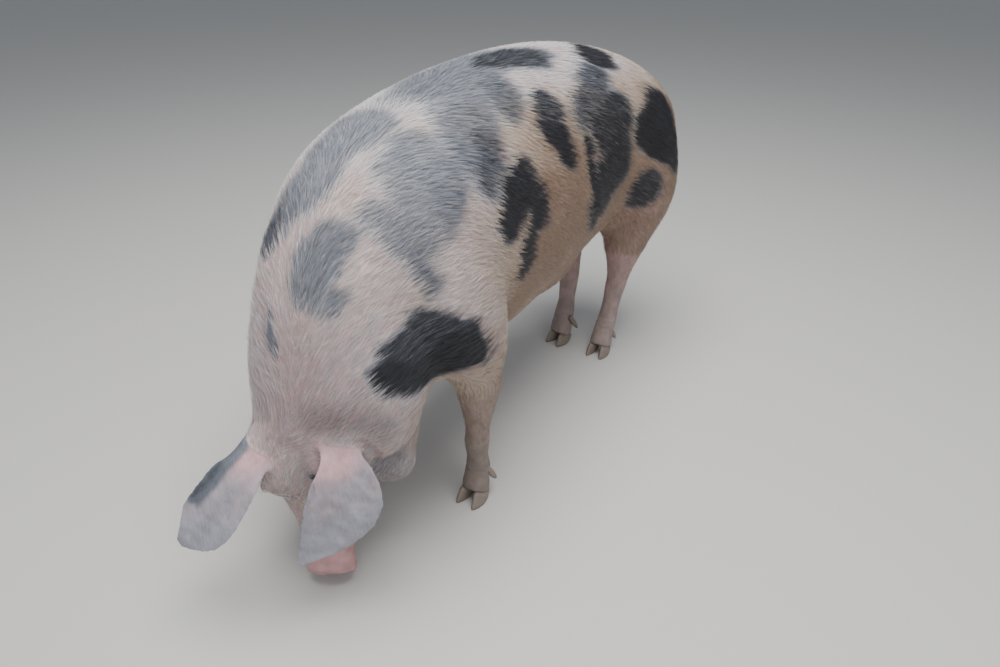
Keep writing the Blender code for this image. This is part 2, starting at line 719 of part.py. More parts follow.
# The cuts: one between trunk and neck, neck and head, head and snout, and two in each leg
cuts = [
    slab(Vector((0.2175, 0, 0.585)), Vector((0.962, 0, -0.273)), Z, 0.33, 0.35),
    slab(on_head(0.005, -0.12, 0), HEAD_U * 0.30 + HEAD_F * 0.105, HEAD_F, 0.21, 0.22),
    slab(on_head(0.245, -0.075, 0), HEAD_U, HEAD_F, 0.09, 0.09),
]
seeds = {
    "trunk": Vector((-0.40, 0, 0.58)),
    "neck": Vector((0.27, 0, 0.52)),
    "head": on_head(0.09, -0.09, 0),
    "snout": on_head(0.285, -0.06, 0),
}
for place, spot in FEET.items():
    end, hand = place.split("_")
    out = spot["side"]
    if end == "front":
        cuts.append(slab(leg_at(spot, 0.300), Vector((0, -0.35 * out, 0.94)), X, 0.10, 0.085))
        cuts.append(slab(leg_at(spot, 0.168), Z, X, 0.07, 0.06))
        seeds["foreleg_" + hand] = leg_at(spot, 0.23)
        seeds["forefoot_" + hand] = leg_at(spot, 0.10)
    else:
        cuts.append(slab(leg_at(spot, 0.325), Z, X, 0.11, 0.086))
        cuts.append(slab(leg_at(spot, 0.200), Z, X, 0.07, 0.055))
        seeds["hindleg_" + hand] = leg_at(spot, 0.26)
        seeds["hindfoot_" + hand] = leg_at(spot, 0.11)
for cut in cuts:
    boolean(whole, cut, "DIFFERENCE")
pieces.update(part_at(seeds, whole))

for place, spot in FEET.items():
    for side, which in ((spot["side"], "outer"), (-spot["side"], "inner")):
        pieces["claw_%s_%s" % (place, which)] = make_claw(spot, side, "claw")
        pieces["dewclaw_%s_%s" % (place, which)] = make_dewclaw(spot, side, "dewclaw")
for side in (-1, 1):
    eye = make_eye(side)
    pieces[eye.name] = eye

finishes = {"ear": EAR_SKIN, "eye": EYE_GLOSS, "claw": CLAW_HORN, "dewclaw": CLAW_HORN,
            "snout": SNOUT_SKIN}
for name, obj in pieces.items():
    obj.name = name
    obj.data.name = name
    obj.data.materials.clear()
    obj.data.materials.append(finishes.get(name.split("_")[0], HIDE))
    obj.data.shade_smooth()

# The origin goes under the middle of her bounding box, on the floor
corners = [v.co for obj in pieces.values() for v in obj.data.vertices]
middle = Vector(((min(c.x for c in corners) + max(c.x for c in corners)) / 2,
                 (min(c.y for c in corners) + max(c.y for c in corners)) / 2,
                 min(c.z for c in corners)))
for obj in pieces.values():
    obj.data.transform(Matrix.Translation(-middle))
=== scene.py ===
import math

import bmesh
import bpy
import numpy as np
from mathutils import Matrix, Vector
from mathutils.bvhtree import BVHTree


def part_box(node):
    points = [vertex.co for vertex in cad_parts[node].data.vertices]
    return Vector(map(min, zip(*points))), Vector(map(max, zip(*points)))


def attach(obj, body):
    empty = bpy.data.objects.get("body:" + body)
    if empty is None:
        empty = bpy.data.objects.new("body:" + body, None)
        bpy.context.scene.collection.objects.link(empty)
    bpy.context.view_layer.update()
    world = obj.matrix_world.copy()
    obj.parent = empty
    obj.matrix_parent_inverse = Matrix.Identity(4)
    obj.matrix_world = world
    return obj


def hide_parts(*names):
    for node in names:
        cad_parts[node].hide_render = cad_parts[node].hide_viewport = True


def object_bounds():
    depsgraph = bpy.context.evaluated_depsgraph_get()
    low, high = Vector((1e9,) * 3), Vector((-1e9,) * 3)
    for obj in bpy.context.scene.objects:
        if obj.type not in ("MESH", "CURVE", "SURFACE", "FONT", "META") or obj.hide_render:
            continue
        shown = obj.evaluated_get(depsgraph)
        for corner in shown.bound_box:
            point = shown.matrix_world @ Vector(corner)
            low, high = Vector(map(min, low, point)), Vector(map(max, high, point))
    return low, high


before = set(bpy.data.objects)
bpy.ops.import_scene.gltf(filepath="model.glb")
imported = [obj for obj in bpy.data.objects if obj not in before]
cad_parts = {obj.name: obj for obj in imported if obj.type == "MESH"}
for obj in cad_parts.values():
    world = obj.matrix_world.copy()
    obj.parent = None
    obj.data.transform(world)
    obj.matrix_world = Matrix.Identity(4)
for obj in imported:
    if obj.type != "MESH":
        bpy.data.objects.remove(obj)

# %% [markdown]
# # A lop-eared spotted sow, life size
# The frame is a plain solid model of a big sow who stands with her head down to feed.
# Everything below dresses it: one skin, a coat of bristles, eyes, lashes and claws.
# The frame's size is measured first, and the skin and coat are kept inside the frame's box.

rng = np.random.default_rng(11)
frame_low, frame_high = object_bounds()
print("frame size, m:", [round(h - l, 4) for l, h in zip(frame_low, frame_high)])

SIDES = ("left", "right")
LEGS = [f"{part}_{side}" for part in ("foreleg", "forefoot", "hindleg", "hindfoot") for side in SIDES]
FLESH = ["trunk", "neck", "head", "snout", "tail", "ear_left", "ear_right"] + LEGS


def unit(v):
    return v / np.maximum(np.linalg.norm(v, axis=-1, keepdims=True), 1e-9)


def ease(low, high, x):
    t = np.clip((x - low) / (high - low), 0, 1)
    return t * t * (3 - 2 * t)


def mix(a, b, t):
    return a + (b - a) * t


def make_object(name, corners, faces):
    mesh = bpy.data.meshes.new(name)
    mesh.from_pydata([tuple(c) for c in corners], [], [tuple(int(i) for i in f) for f in faces])
    obj = bpy.data.objects.new(name, mesh)
    bpy.context.scene.collection.objects.link(obj)
    return obj


def corners_of(mesh):
    out = np.empty(len(mesh.vertices) * 3, dtype=np.float32)
    mesh.vertices.foreach_get("co", out)
    return out.reshape(-1, 3).astype(float)


# %% [markdown]
# ## The head's own axes
# The head hangs almost straight down and is turned to her left. Places on it are given
# as down the face, out of the face and to her left, from the poll between the ears.

# %% Axes of the head and of the snout's disc
POLL = np.array([0.59745, 0.01206, 0.352])
HEAD_YAW, HEAD_TILT = math.radians(33), math.radians(2)
HEAD_LENGTH = 0.336
DISC_LEAN = math.radians(42)

forward = np.array([math.cos(HEAD_YAW), math.sin(HEAD_YAW), 0])
TO_LEFT = np.array([-math.sin(HEAD_YAW), math.cos(HEAD_YAW), 0])
DOWN_FACE = unit(np.array([0, 0, -1.0]) * math.cos(HEAD_TILT) - forward * math.sin(HEAD_TILT))
OUT_OF_FACE = unit(np.cross(TO_LEFT, -DOWN_FACE))
DISC_UP = OUT_OF_FACE * math.cos(DISC_LEAN) - DOWN_FACE * math.sin(DISC_LEAN)
DISC_OUT = DOWN_FACE * math.cos(DISC_LEAN) + OUT_OF_FACE * math.sin(DISC_LEAN)


def on_head(down, out, left):
    return POLL + DOWN_FACE * down + OUT_OF_FACE * out + TO_LEFT * left


DISC_MIDDLE = on_head(HEAD_LENGTH - 0.022, -0.038, 0.006) + DISC_OUT * 0.019
EYES = {side: np.mean(np.array(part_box(f"eye_{side}")), axis=0) for side in SIDES}
EYE_RADIUS = 0.0125
print("disc middle:", DISC_MIDDLE.round(3), "eyes:", {k: v.round(3).tolist() for k, v in EYES.items()})

# %% [markdown]
# ## One skin
# On the animal one hide covers the trunk, neck, head and legs without a seam. Here the
# flesh solids are joined, wrapped in a fine even mesh and relaxed, more on the broad
# trunk than on the feet, ears and face, so that the facets go and the forms stay.

# %% Wrap the flesh in one even mesh
SKIN_CELL = 0.003


def gathered(names):
    """All the corners and faces of some frame nodes, with the number of the node for each face."""
    corners, faces, owners, start = [], [], [], 0
    for number, name in enumerate(names):
        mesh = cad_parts[name].data
        own = corners_of(mesh)
        corners.append(own)
        for face in mesh.polygons:
            faces.append([i + start for i in face.vertices])
            owners.append(number)
        start += len(own)
    return np.vstack(corners), faces, np.array(owners)


def wrapped(obj, cell):
    """Weld the solids' corners and wrap them in one mesh with cells of one size."""
    bm = bmesh.new()
    bm.from_mesh(obj.data)
    bmesh.ops.remove_doubles(bm, verts=bm.verts, dist=0.00002)
    bm.to_mesh(obj.data)
    bm.free()
    wrap = obj.modifiers.new("wrap", "REMESH")
    wrap.mode = "VOXEL"
    wrap.voxel_size = cell
    graph = bpy.context.evaluated_depsgraph_get()
    mesh = bpy.data.meshes.new_from_object(obj.evaluated_get(graph))
    obj.modifiers.clear()
    obj.data = mesh
    return obj


flesh_corners, flesh_faces, flesh_owner = gathered(FLESH)
flesh_tree = BVHTree.FromPolygons([Vector(c) for c in flesh_corners], flesh_faces)
skin = wrapped(make_object("hide_skin", flesh_corners, flesh_faces), SKIN_CELL)
print("wrapped:", len(skin.data.vertices), "corners")


# %% Relax it region by region
RELAX_STEPS = {"trunk": 150, "neck": 110, "head": 22, "snout": 8, "tail": 10, "ear_left": 12, "ear_right": 12,
               "foreleg": 50, "hindleg": 50, "forefoot": 6, "hindfoot": 6}


def owners_of(points):
    return np.array([flesh_owner[flesh_tree.find_nearest(Vector(p))[2]] for p in points])


def edges_of(mesh):
    out = np.empty(len(mesh.edges) * 2, dtype=np.int32)
    mesh.edges.foreach_get("vertices", out)
    return out.reshape(-1, 2)


def averaged(values, edges, degree):
    """Each corner's mean over its neighbours."""
    a, b = edges[:, 0], edges[:, 1]
    columns = []
    for column in np.atleast_2d(values.T):
        total = np.bincount(a, column[b], len(column)) + np.bincount(b, column[a], len(column))
        columns.append(total / degree)
    return np.array(columns).T if values.ndim == 2 else columns[0]


points = corners_of(skin.data)
edges = edges_of(skin.data)
degree = np.maximum(np.bincount(edges.ravel(), minlength=len(points)), 1)
owner = owners_of(points)
steps = np.array([RELAX_STEPS.get(name, RELAX_STEPS.get(name.split("_")[0])) for name in FLESH], float)
steps *= (0.004 / SKIN_CELL) ** 2
wanted = steps[owner]
EAR_ROOTS = {"left": np.array([0.595, 0.068, 0.372]), "right": np.array([0.640, -0.070, 0.365])}
for side in SIDES:
    near_root = np.linalg.norm(points - EAR_ROOTS[side], axis=1)
    wanted = np.maximum(wanted, 130 * (0.004 / SKIN_CELL) ** 2 * ease(0.070, 0.036, near_root))
for _ in range(14):
    wanted = averaged(wanted, edges, degree)
for step in range(int(wanted.max())):
    share = 0.5 * np.clip(wanted - step, 0, 1)[:, None]
    points += (averaged(points, edges, degree) - points) * share
skin.data.vertices.foreach_set("co", points.astype(np.float32).ravel())
print("relaxed; widest region:", FLESH[int(np.bincount(owner).argmax())])

# %% Thin the mesh on the trunk, where the form is broad
KEPT_SHARE = 0.20
group = skin.vertex_groups.new(name="broad")
broad_names = ["trunk", "neck"] + [name for name in LEGS if "leg" in name]
broad = np.isin(owner, [FLESH.index(name) for name in broad_names])
group.add(np.nonzero(broad)[0].tolist(), 1.0, "REPLACE")
thin = skin.modifiers.new("thin", "DECIMATE")
thin.ratio = 1 - (1 - KEPT_SHARE) * float(broad.mean())
thin.vertex_group = "broad"
graph = bpy.context.evaluated_depsgraph_get()
thinned = bpy.data.meshes.new_from_object(skin.evaluated_get(graph))
skin.modifiers.clear()
skin.vertex_groups.clear()
skin.data = thinned
print("thinned:", len(skin.data.vertices), "corners,", len(skin.data.polygons), "faces")

# %% [markdown]
# ## Finer mesh where the face is finest
# Lids, nostrils, lips and teats need cells of a millimetre or two.

# %% Split the cells around the small features
MOUTH_LINE = ((0.312, -0.086, 0.030), (0.290, -0.082, 0.060), (0.258, -0.080, 0.070), (0.225, -0.086, 0.080),
              (0.196, -0.100, 0.090))
TEATS_A_SIDE, TEAT_FIRST_X, TEAT_LAST_X, TEAT_SPREAD = 7, 0.129, -0.411, 0.060
NOSTRIL_SPREAD, NOSTRIL_RISE = 0.019, 0.004


def belly_point(x, y):
    hit = flesh_tree.ray_cast(Vector((x, y, 0)), Vector((0, 0, 1)))
    return None if hit[0] is None else np.array(hit[0])


AXIS_KNOTS = np.array([
    (-0.720, 0.084, 0.585), (-0.510, 0.023, 0.620), (-0.200, -0.032, 0.604), (0.170, -0.038, 0.597),
    (0.300, -0.031, 0.600), (0.365, -0.022, 0.560), (0.415, -0.014, 0.505), (0.452, -0.010, 0.440),
    (0.480, -0.012, 0.380), (0.500, -0.035, 0.320), (0.520, -0.040, 0.260), (0.533, -0.035, 0.180),
    (0.545, -0.025, 0.090), (0.550, -0.020, 0.020)])
teats = []
for n in range(TEATS_A_SIDE):
    x = TEAT_FIRST_X + (TEAT_LAST_X - TEAT_FIRST_X) * n / (TEATS_A_SIDE - 1)
    middle = np.interp(x, AXIS_KNOTS[:4, 0], AXIS_KNOTS[:4, 1])
    for side in (1, -1):
        spot = belly_point(x, middle + side * TEAT_SPREAD)
        if spot is not None:
            teats.append(spot)


def split_near(obj, places):
    """Split each face that comes within a distance of a place. places: (middle, distance) pairs."""
    bm = bmesh.new()
    bm.from_mesh(obj.data)
    bm.verts.ensure_lookup_table()
    at = np.array([v.co[:] for v in bm.verts])
    near = np.zeros(len(at), bool)
    for middle, reach in places:
        near |= ((at - middle) ** 2).sum(1) < reach ** 2
    chosen = [e for e in bm.edges if near[e.verts[0].index] and near[e.verts[1].index]]
    bmesh.ops.subdivide_edges(bm, edges=chosen, cuts=1, use_grid_fill=True)
    bmesh.ops.triangulate(bm, faces=[f for f in bm.faces if len(f.verts) > 4])
    bm.to_mesh(obj.data)
    bm.free()


nostrils = [DISC_MIDDLE + TO_LEFT * NOSTRIL_SPREAD * side + DISC_UP * NOSTRIL_RISE for side in (1, -1)]
split_near(skin, [(DISC_MIDDLE, 0.075)] + [(EYES[s], 0.040) for s in SIDES] + [(t, 0.028) for t in teats]
           + [(on_head(u, f, l * s), 0.022) for u, f, l in MOUTH_LINE for s in (1, -1)])
split_near(skin, [(EYES[s], 0.026) for s in SIDES] + [(n, 0.020) for n in nostrils]
           + [(t, 0.016) for t in teats])
print("split:", len(skin.data.vertices), "corners;", len(teats), "teats")

# %% [markdown]
# ## Directions along the hide
# A hide is marked and haired along the body: from the rump forward along the back, and
# round the girth from the spine. A smooth axis through the body gives both at any point.


# %% The body's axis
def smooth_line(knots, between=8):
    """A smooth curve through the knots."""
    padded = np.vstack([2 * knots[0] - knots[1], knots, 2 * knots[-1] - knots[-2]])
    out = []
    for a, b, c, d in zip(padded[:-3], padded[1:-2], padded[2:-1], padded[3:]):
        for t in np.arange(between) / between:
            out.append(0.5 * (2 * b + (c - a) * t + (2 * a - 5 * b + 4 * c - d) * t * t
                              + (3 * b - a - 3 * c + d) * t ** 3))
    return np.array(out + [knots[-1]])


AXIS = smooth_line(AXIS_KNOTS)
AXIS_STEP = AXIS[1:] - AXIS[:-1]
AXIS_LENGTH = np.linalg.norm(AXIS_STEP, axis=1)
AXIS_AT = np.concatenate([[0], np.cumsum(AXIS_LENGTH)])
AXIS_RUN = unit(np.gradient(AXIS, axis=0))
AXIS_TOP = []
top = np.array([0, 0, 1.0])
for run in AXIS_RUN:
    top = unit(top - run * (top @ run))
    AXIS_TOP.append(top)
AXIS_TOP = np.array(AXIS_TOP)


def along_body(at):
    """Distance along the axis, angle from the spine (left is positive), distance out, and the axis there."""
    out = {key: [] for key in ("along", "angle", "out", "run", "round")}
    for block in np.array_split(at, max(1, len(at) // 20000)):
        nearest = ((block[:, None, :] - AXIS[None]) ** 2).sum(2).argmin(1)
        best = np.full(len(block), np.inf)
        piece, part = np.zeros(len(block), int), np.zeros(len(block))
        for shift in (-1, 0):
            j = np.clip(nearest + shift, 0, len(AXIS_STEP) - 1)
            w = np.clip(((block - AXIS[j]) * AXIS_STEP[j]).sum(1) / AXIS_LENGTH[j] ** 2, 0, 1)
            gap = ((block - AXIS[j] - AXIS_STEP[j] * w[:, None]) ** 2).sum(1)
            closer = gap < best
            best[closer], piece[closer], part[closer] = gap[closer], j[closer], w[closer]
        w = part[:, None]
        run = unit(mix(AXIS_RUN[piece], AXIS_RUN[piece + 1], w))
        top = unit(mix(AXIS_TOP[piece], AXIS_TOP[piece + 1], w))
        left = np.cross(top, run)
        off = block - AXIS[piece] - AXIS_STEP[piece] * w
        angle = np.arctan2((off * left).sum(1), (off * top).sum(1))
        out["along"].append(AXIS_AT[piece] + AXIS_LENGTH[piece] * part)
        out["angle"].append(angle)
        out["out"].append(np.sqrt(best))
        out["run"].append(run)
        out["round"].append(left * np.cos(angle)[:, None] - top * np.sin(angle)[:, None])
    return {key: np.concatenate(value) for key, value in out.items()}


print("axis length, m:", round(float(AXIS_AT[-1]), 3))

# %% [markdown]
# ## Small forms of the skin
# Lids round each eye, nostrils and a rim on the disc, wrinkles above it, the line of the
# lips, a crease at the ear's root, soft rolls on the neck and the teats of a sow.


# %% Tools for shaping the skin
def normals_of(obj):
    obj.data.update()
    out = np.empty(len(obj.data.vertices) * 3, dtype=np.float32)
    obj.data.vertices.foreach_get("normal", out)
    return out.reshape(-1, 3).astype(float)


def bump_at(at, middle, radii, axes=None):
    """1 at the middle, 0 outside radii, smooth."""
    off = (at - middle) @ (np.array(axes).T if axes is not None else np.eye(3))
    d = np.sqrt(((off / np.array(radii)) ** 2).sum(1))
    return ease(1, 0, d)


def groove_along(at, line, width):
    """1 on the line, 0 beyond the width, with the distance measured to the line's pieces."""
    best = np.full(len(at), np.inf)
    for a, b in zip(line[:-1], line[1:]):
        step = b - a
        w = np.clip(((at - a) @ step) / (step @ step), 0, 1)[:, None]
        best = np.minimum(best, np.linalg.norm(at - a - step * w, axis=1))
    return ease(width, 0, best), best


def wave(at, scale, seed, octaves=2):
    """A cheap smooth noise between about -1 and 1, from crossed sine waves."""
    source = np.random.default_rng(seed)
    total = np.zeros(len(at))
    for octave in range(octaves):
        for _ in range(5):
            way = unit(source.normal(size=3)) * 2 * math.pi / scale * 2 ** octave
            total += np.sin(at @ way + source.uniform(0, 6.28)) * 0.4 / 2 ** octave
    return total


def on_skin(line):
    """The skin's corners nearest to a line's points."""
    return np.array([points[((points - p) ** 2).sum(1).argmin()] for p in np.array(line)])


points = corners_of(skin.data)
normals = normals_of(skin)
start_points = points.copy()

# %% Lids
LID_REACH, LID_THICK = 0.024, 0.0015
SLIT_HALF, SLIT_HIGH = 0.0115, 0.0052
for side, sign in (("left", 1), ("right", -1)):
    outward = unit(TO_LEFT * sign + OUT_OF_FACE * 0.35)
    across = unit(DOWN_FACE - outward * (DOWN_FACE @ outward))
    above = unit(np.cross(outward, across))
    above *= np.sign(above @ OUT_OF_FACE)
    off = points - EYES[side]
    x, y, z = off @ across, off @ above, off @ outward
    reach = np.hypot(x, y)
    near = (reach < LID_REACH) & (z > -0.012) & (np.abs(z) < 0.03)
    shell = np.sqrt(np.maximum((EYE_RADIUS + LID_THICK) ** 2 - reach ** 2, 0))
    lid_line = SLIT_HIGH * np.clip(1 - (x / SLIT_HALF) ** 2, 0, 1)
    inside = ease(0.0010, -0.0010, np.abs(y) - lid_line) * (np.abs(x) < SLIT_HALF)
    fold = 0.0012 * ease(0.0035, 0, np.abs(reach - 0.0150)) * (y > -0.004)
    lifted = np.maximum(z, shell) - fold
    target = mix(lifted, -0.004, inside)
    change = (target - z) * ease(LID_REACH, LID_REACH * 0.6, reach) * near
    points += change[:, None] * outward

# %% Disc, nostrils and lips
off = points - DISC_MIDDLE
disc_x, disc_y, disc_z = off @ TO_LEFT, off @ DISC_UP, off @ DISC_OUT
near_disc = np.linalg.norm(off, axis=1) < 0.07
disc_reach = np.hypot(disc_x, disc_y / 0.78)
rim = ease(0.010, 0, np.abs(disc_reach - 0.043)) * ease(0.02, 0.005, np.abs(disc_z))
points += (0.0022 * rim * near_disc)[:, None] * unit(DISC_OUT * 0.6 + unit(off) * 0.6)
for middle in nostrils:
    off = points - middle
    d = np.hypot((off @ TO_LEFT) / 0.0080, (off @ DISC_UP) / 0.0105)
    deep = ease(1.05, 0.55, d) * (np.abs(off @ DISC_OUT) < 0.018)
    lip = ease(0.55, 0, np.abs(d - 1.35)) * (np.abs(off @ DISC_OUT) < 0.012)
    points += (-0.013 * deep + 0.0016 * lip)[:, None] * DISC_OUT
down = (points - POLL) @ DOWN_FACE
out = (points - POLL) @ OUT_OF_FACE
aside = (points - POLL) @ TO_LEFT
on_muzzle = ease(0.215, 0.245, down) * ease(0.315, 0.295, down) * ease(-0.075, -0.045, out)
wrinkle = np.sin(down * 2 * math.pi / 0.0115 + 1.4 * np.cos(aside * 55) + wave(points, 0.05, 4) * 0.8)
points += (0.0009 * wrinkle * on_muzzle)[:, None] * normals
# Marks the mouth's crease; below, the skin colour is darkened there as painted shade.
lip_crease_shade = np.zeros(len(points))
for side in (1, -1):
    line = smooth_line(on_skin([on_head(u, f, l * side) for u, f, l in MOUTH_LINE]), 6)
    close, gap = groove_along(points, line, 0.0050)
    swell = ease(0.006, 0, np.abs(gap - 0.008))
    lip_crease_shade = np.maximum(lip_crease_shade, close)
    points += (-0.0036 * close + 0.0012 * swell)[:, None] * normals

# %% Creases, folds and teats
FOLDS = (  # places down the hide, width and depth
    (((0.556, 0.096, 0.372), (0.540, 0.106, 0.345), (0.526, 0.106, 0.318), (0.516, 0.098, 0.285)), 0.015, 0.0060),
    (((0.520, 0.130, 0.352), (0.490, 0.142, 0.356), (0.455, 0.140, 0.352)), 0.024, 0.0022),
    (((0.600, -0.110, 0.350), (0.560, -0.150, 0.370), (0.500, -0.170, 0.400)), 0.022, 0.0045),
    (((0.262, 0.205, 0.470), (0.290, 0.212, 0.430), (0.285, 0.190, 0.380)), 0.020, 0.0060),
    (((0.262, -0.235, 0.470), (0.290, -0.235, 0.430), (0.285, -0.205, 0.380)), 0.020, 0.0060),
    (((-0.165, 0.190, 0.720), (-0.170, 0.190, 0.640), (-0.205, 0.185, 0.560), (-0.260, 0.175, 0.480)), 0.030, 0.0060),
)
for line, width, depth in FOLDS:
    close, gap = groove_along(points, smooth_line(on_skin(line), 4), width)
    points -= (depth * close ** 1.5)[:, None] * normals
VEINS = {
    "left": ((0.598, 0.076, 0.350), ((0.573, 0.126, 0.273), (0.594, 0.113, 0.238), (0.615, 0.092, 0.246),
                                     (0.620, 0.084, 0.188), (0.650, 0.051, 0.210))),
    "right": ((0.648, -0.074, 0.352), ((0.700, -0.081, 0.283), (0.729, -0.109, 0.237), (0.742, -0.134, 0.225),
                                       (0.722, -0.128, 0.266))),
}
vein_mark = np.zeros(len(points))
on_ears_now = np.isin(owners_of(points), [FLESH.index("ear_left"), FLESH.index("ear_right")])
for side, (root, ends) in VEINS.items():
    for k, end in enumerate(ends):
        bent = mix(np.array(root), np.array(end), 0.55) + TO_LEFT * (0.006 * (-1) ** k)
        close, _ = groove_along(points, smooth_line(np.array([root, bent, end]), 5), 0.0065)
        vein_mark = np.maximum(vein_mark, close * on_ears_now)
points += (0.0008 * vein_mark)[:, None] * normals
for spot in teats:
    spot = spot + np.array([0, 0, 0.002])
    off = points - spot
    flat_gap = np.hypot(off[:, 0], off[:, 1])
    below = (np.abs(off[:, 2]) < 0.03)
    rise = 0.004 * ease(0.020, 0.006, flat_gap) + 0.014 * ease(0.0085, 0.0045, flat_gap)
    points[:, 2] -= rise * below
fetlock = np.zeros(len(points))
for name in ("front_left", "front_right", "hind_left", "hind_right"):
    low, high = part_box(f"dewclaw_{name}_outer")
    middle = np.array([(low[0] + high[0]) / 2, (low[1] + high[1]) / 2, 0])
    close = np.linalg.norm((points - middle)[:, :2], axis=1) < 0.09
    fold = np.sin(points[:, 2] * 2 * math.pi / 0.012) * ease(0.060, 0.075, points[:, 2])
    fetlock += fold * ease(0.125, 0.105, points[:, 2]) * close
points += (0.0005 * fetlock)[:, None] * normals
coronet = ease(0.050, 0.028, points[:, 2])
points[:, 2] -= 0.005 * coronet
points += (0.0018 * coronet * ease(0.020, 0.030, points[:, 2]))[:, None] * normals * np.array([1, 1, 0])
print("largest move, mm:", round(float(np.linalg.norm(points - start_points, axis=1).max() * 1000), 1))

# %% [markdown]
# ## The coat's depth
# Hair lies over the skin, so the skin is drawn in by the depth of the coat. The bristles
# then fill the space out to the frame's own outline. Neither skin nor hair leaves the frame's box.

# %% Draw the skin in
COAT_DEPTH = {"trunk": 0.0055, "neck": 0.0055, "head": 0.0030, "snout": 0.0006, "tail": 0.0010, "ear": 0.0008,
              "foreleg": 0.0025, "hindleg": 0.0025, "forefoot": 0.0006, "hindfoot": 0.0006}
skin.data.vertices.foreach_set("co", points.astype(np.float32).ravel())
owner = owners_of(points)
edges = edges_of(skin.data)
degree = np.maximum(np.bincount(edges.ravel(), minlength=len(points)), 1)
depth = np.array([COAT_DEPTH[name.split("_")[0]] for name in FLESH])[owner]
for _ in range(10):
    depth = averaged(depth, edges, degree)
SPARE = 0.0003
ROOM_LOW, ROOM_HIGH = np.array(frame_low) + SPARE, np.array(frame_high) - SPARE
points = np.clip(points - normals_of(skin) * depth[:, None], ROOM_LOW, ROOM_HIGH)
skin.data.vertices.foreach_set("co", points.astype(np.float32).ravel())
normals = normals_of(skin)
print("drawn in, mm:", round(float(depth.min() * 1000), 1), "to", round(float(depth.max() * 1000), 1))

# %% [markdown]
# ## Markings
# Her base colour is pale, with pink skin under white hair. The spots are black where skin
# and hair are both dark, and blue-grey where white hair lies over dark skin. Each spot is
# an oval on the hide: its middle, half length, half width, turn, darkness and softness.

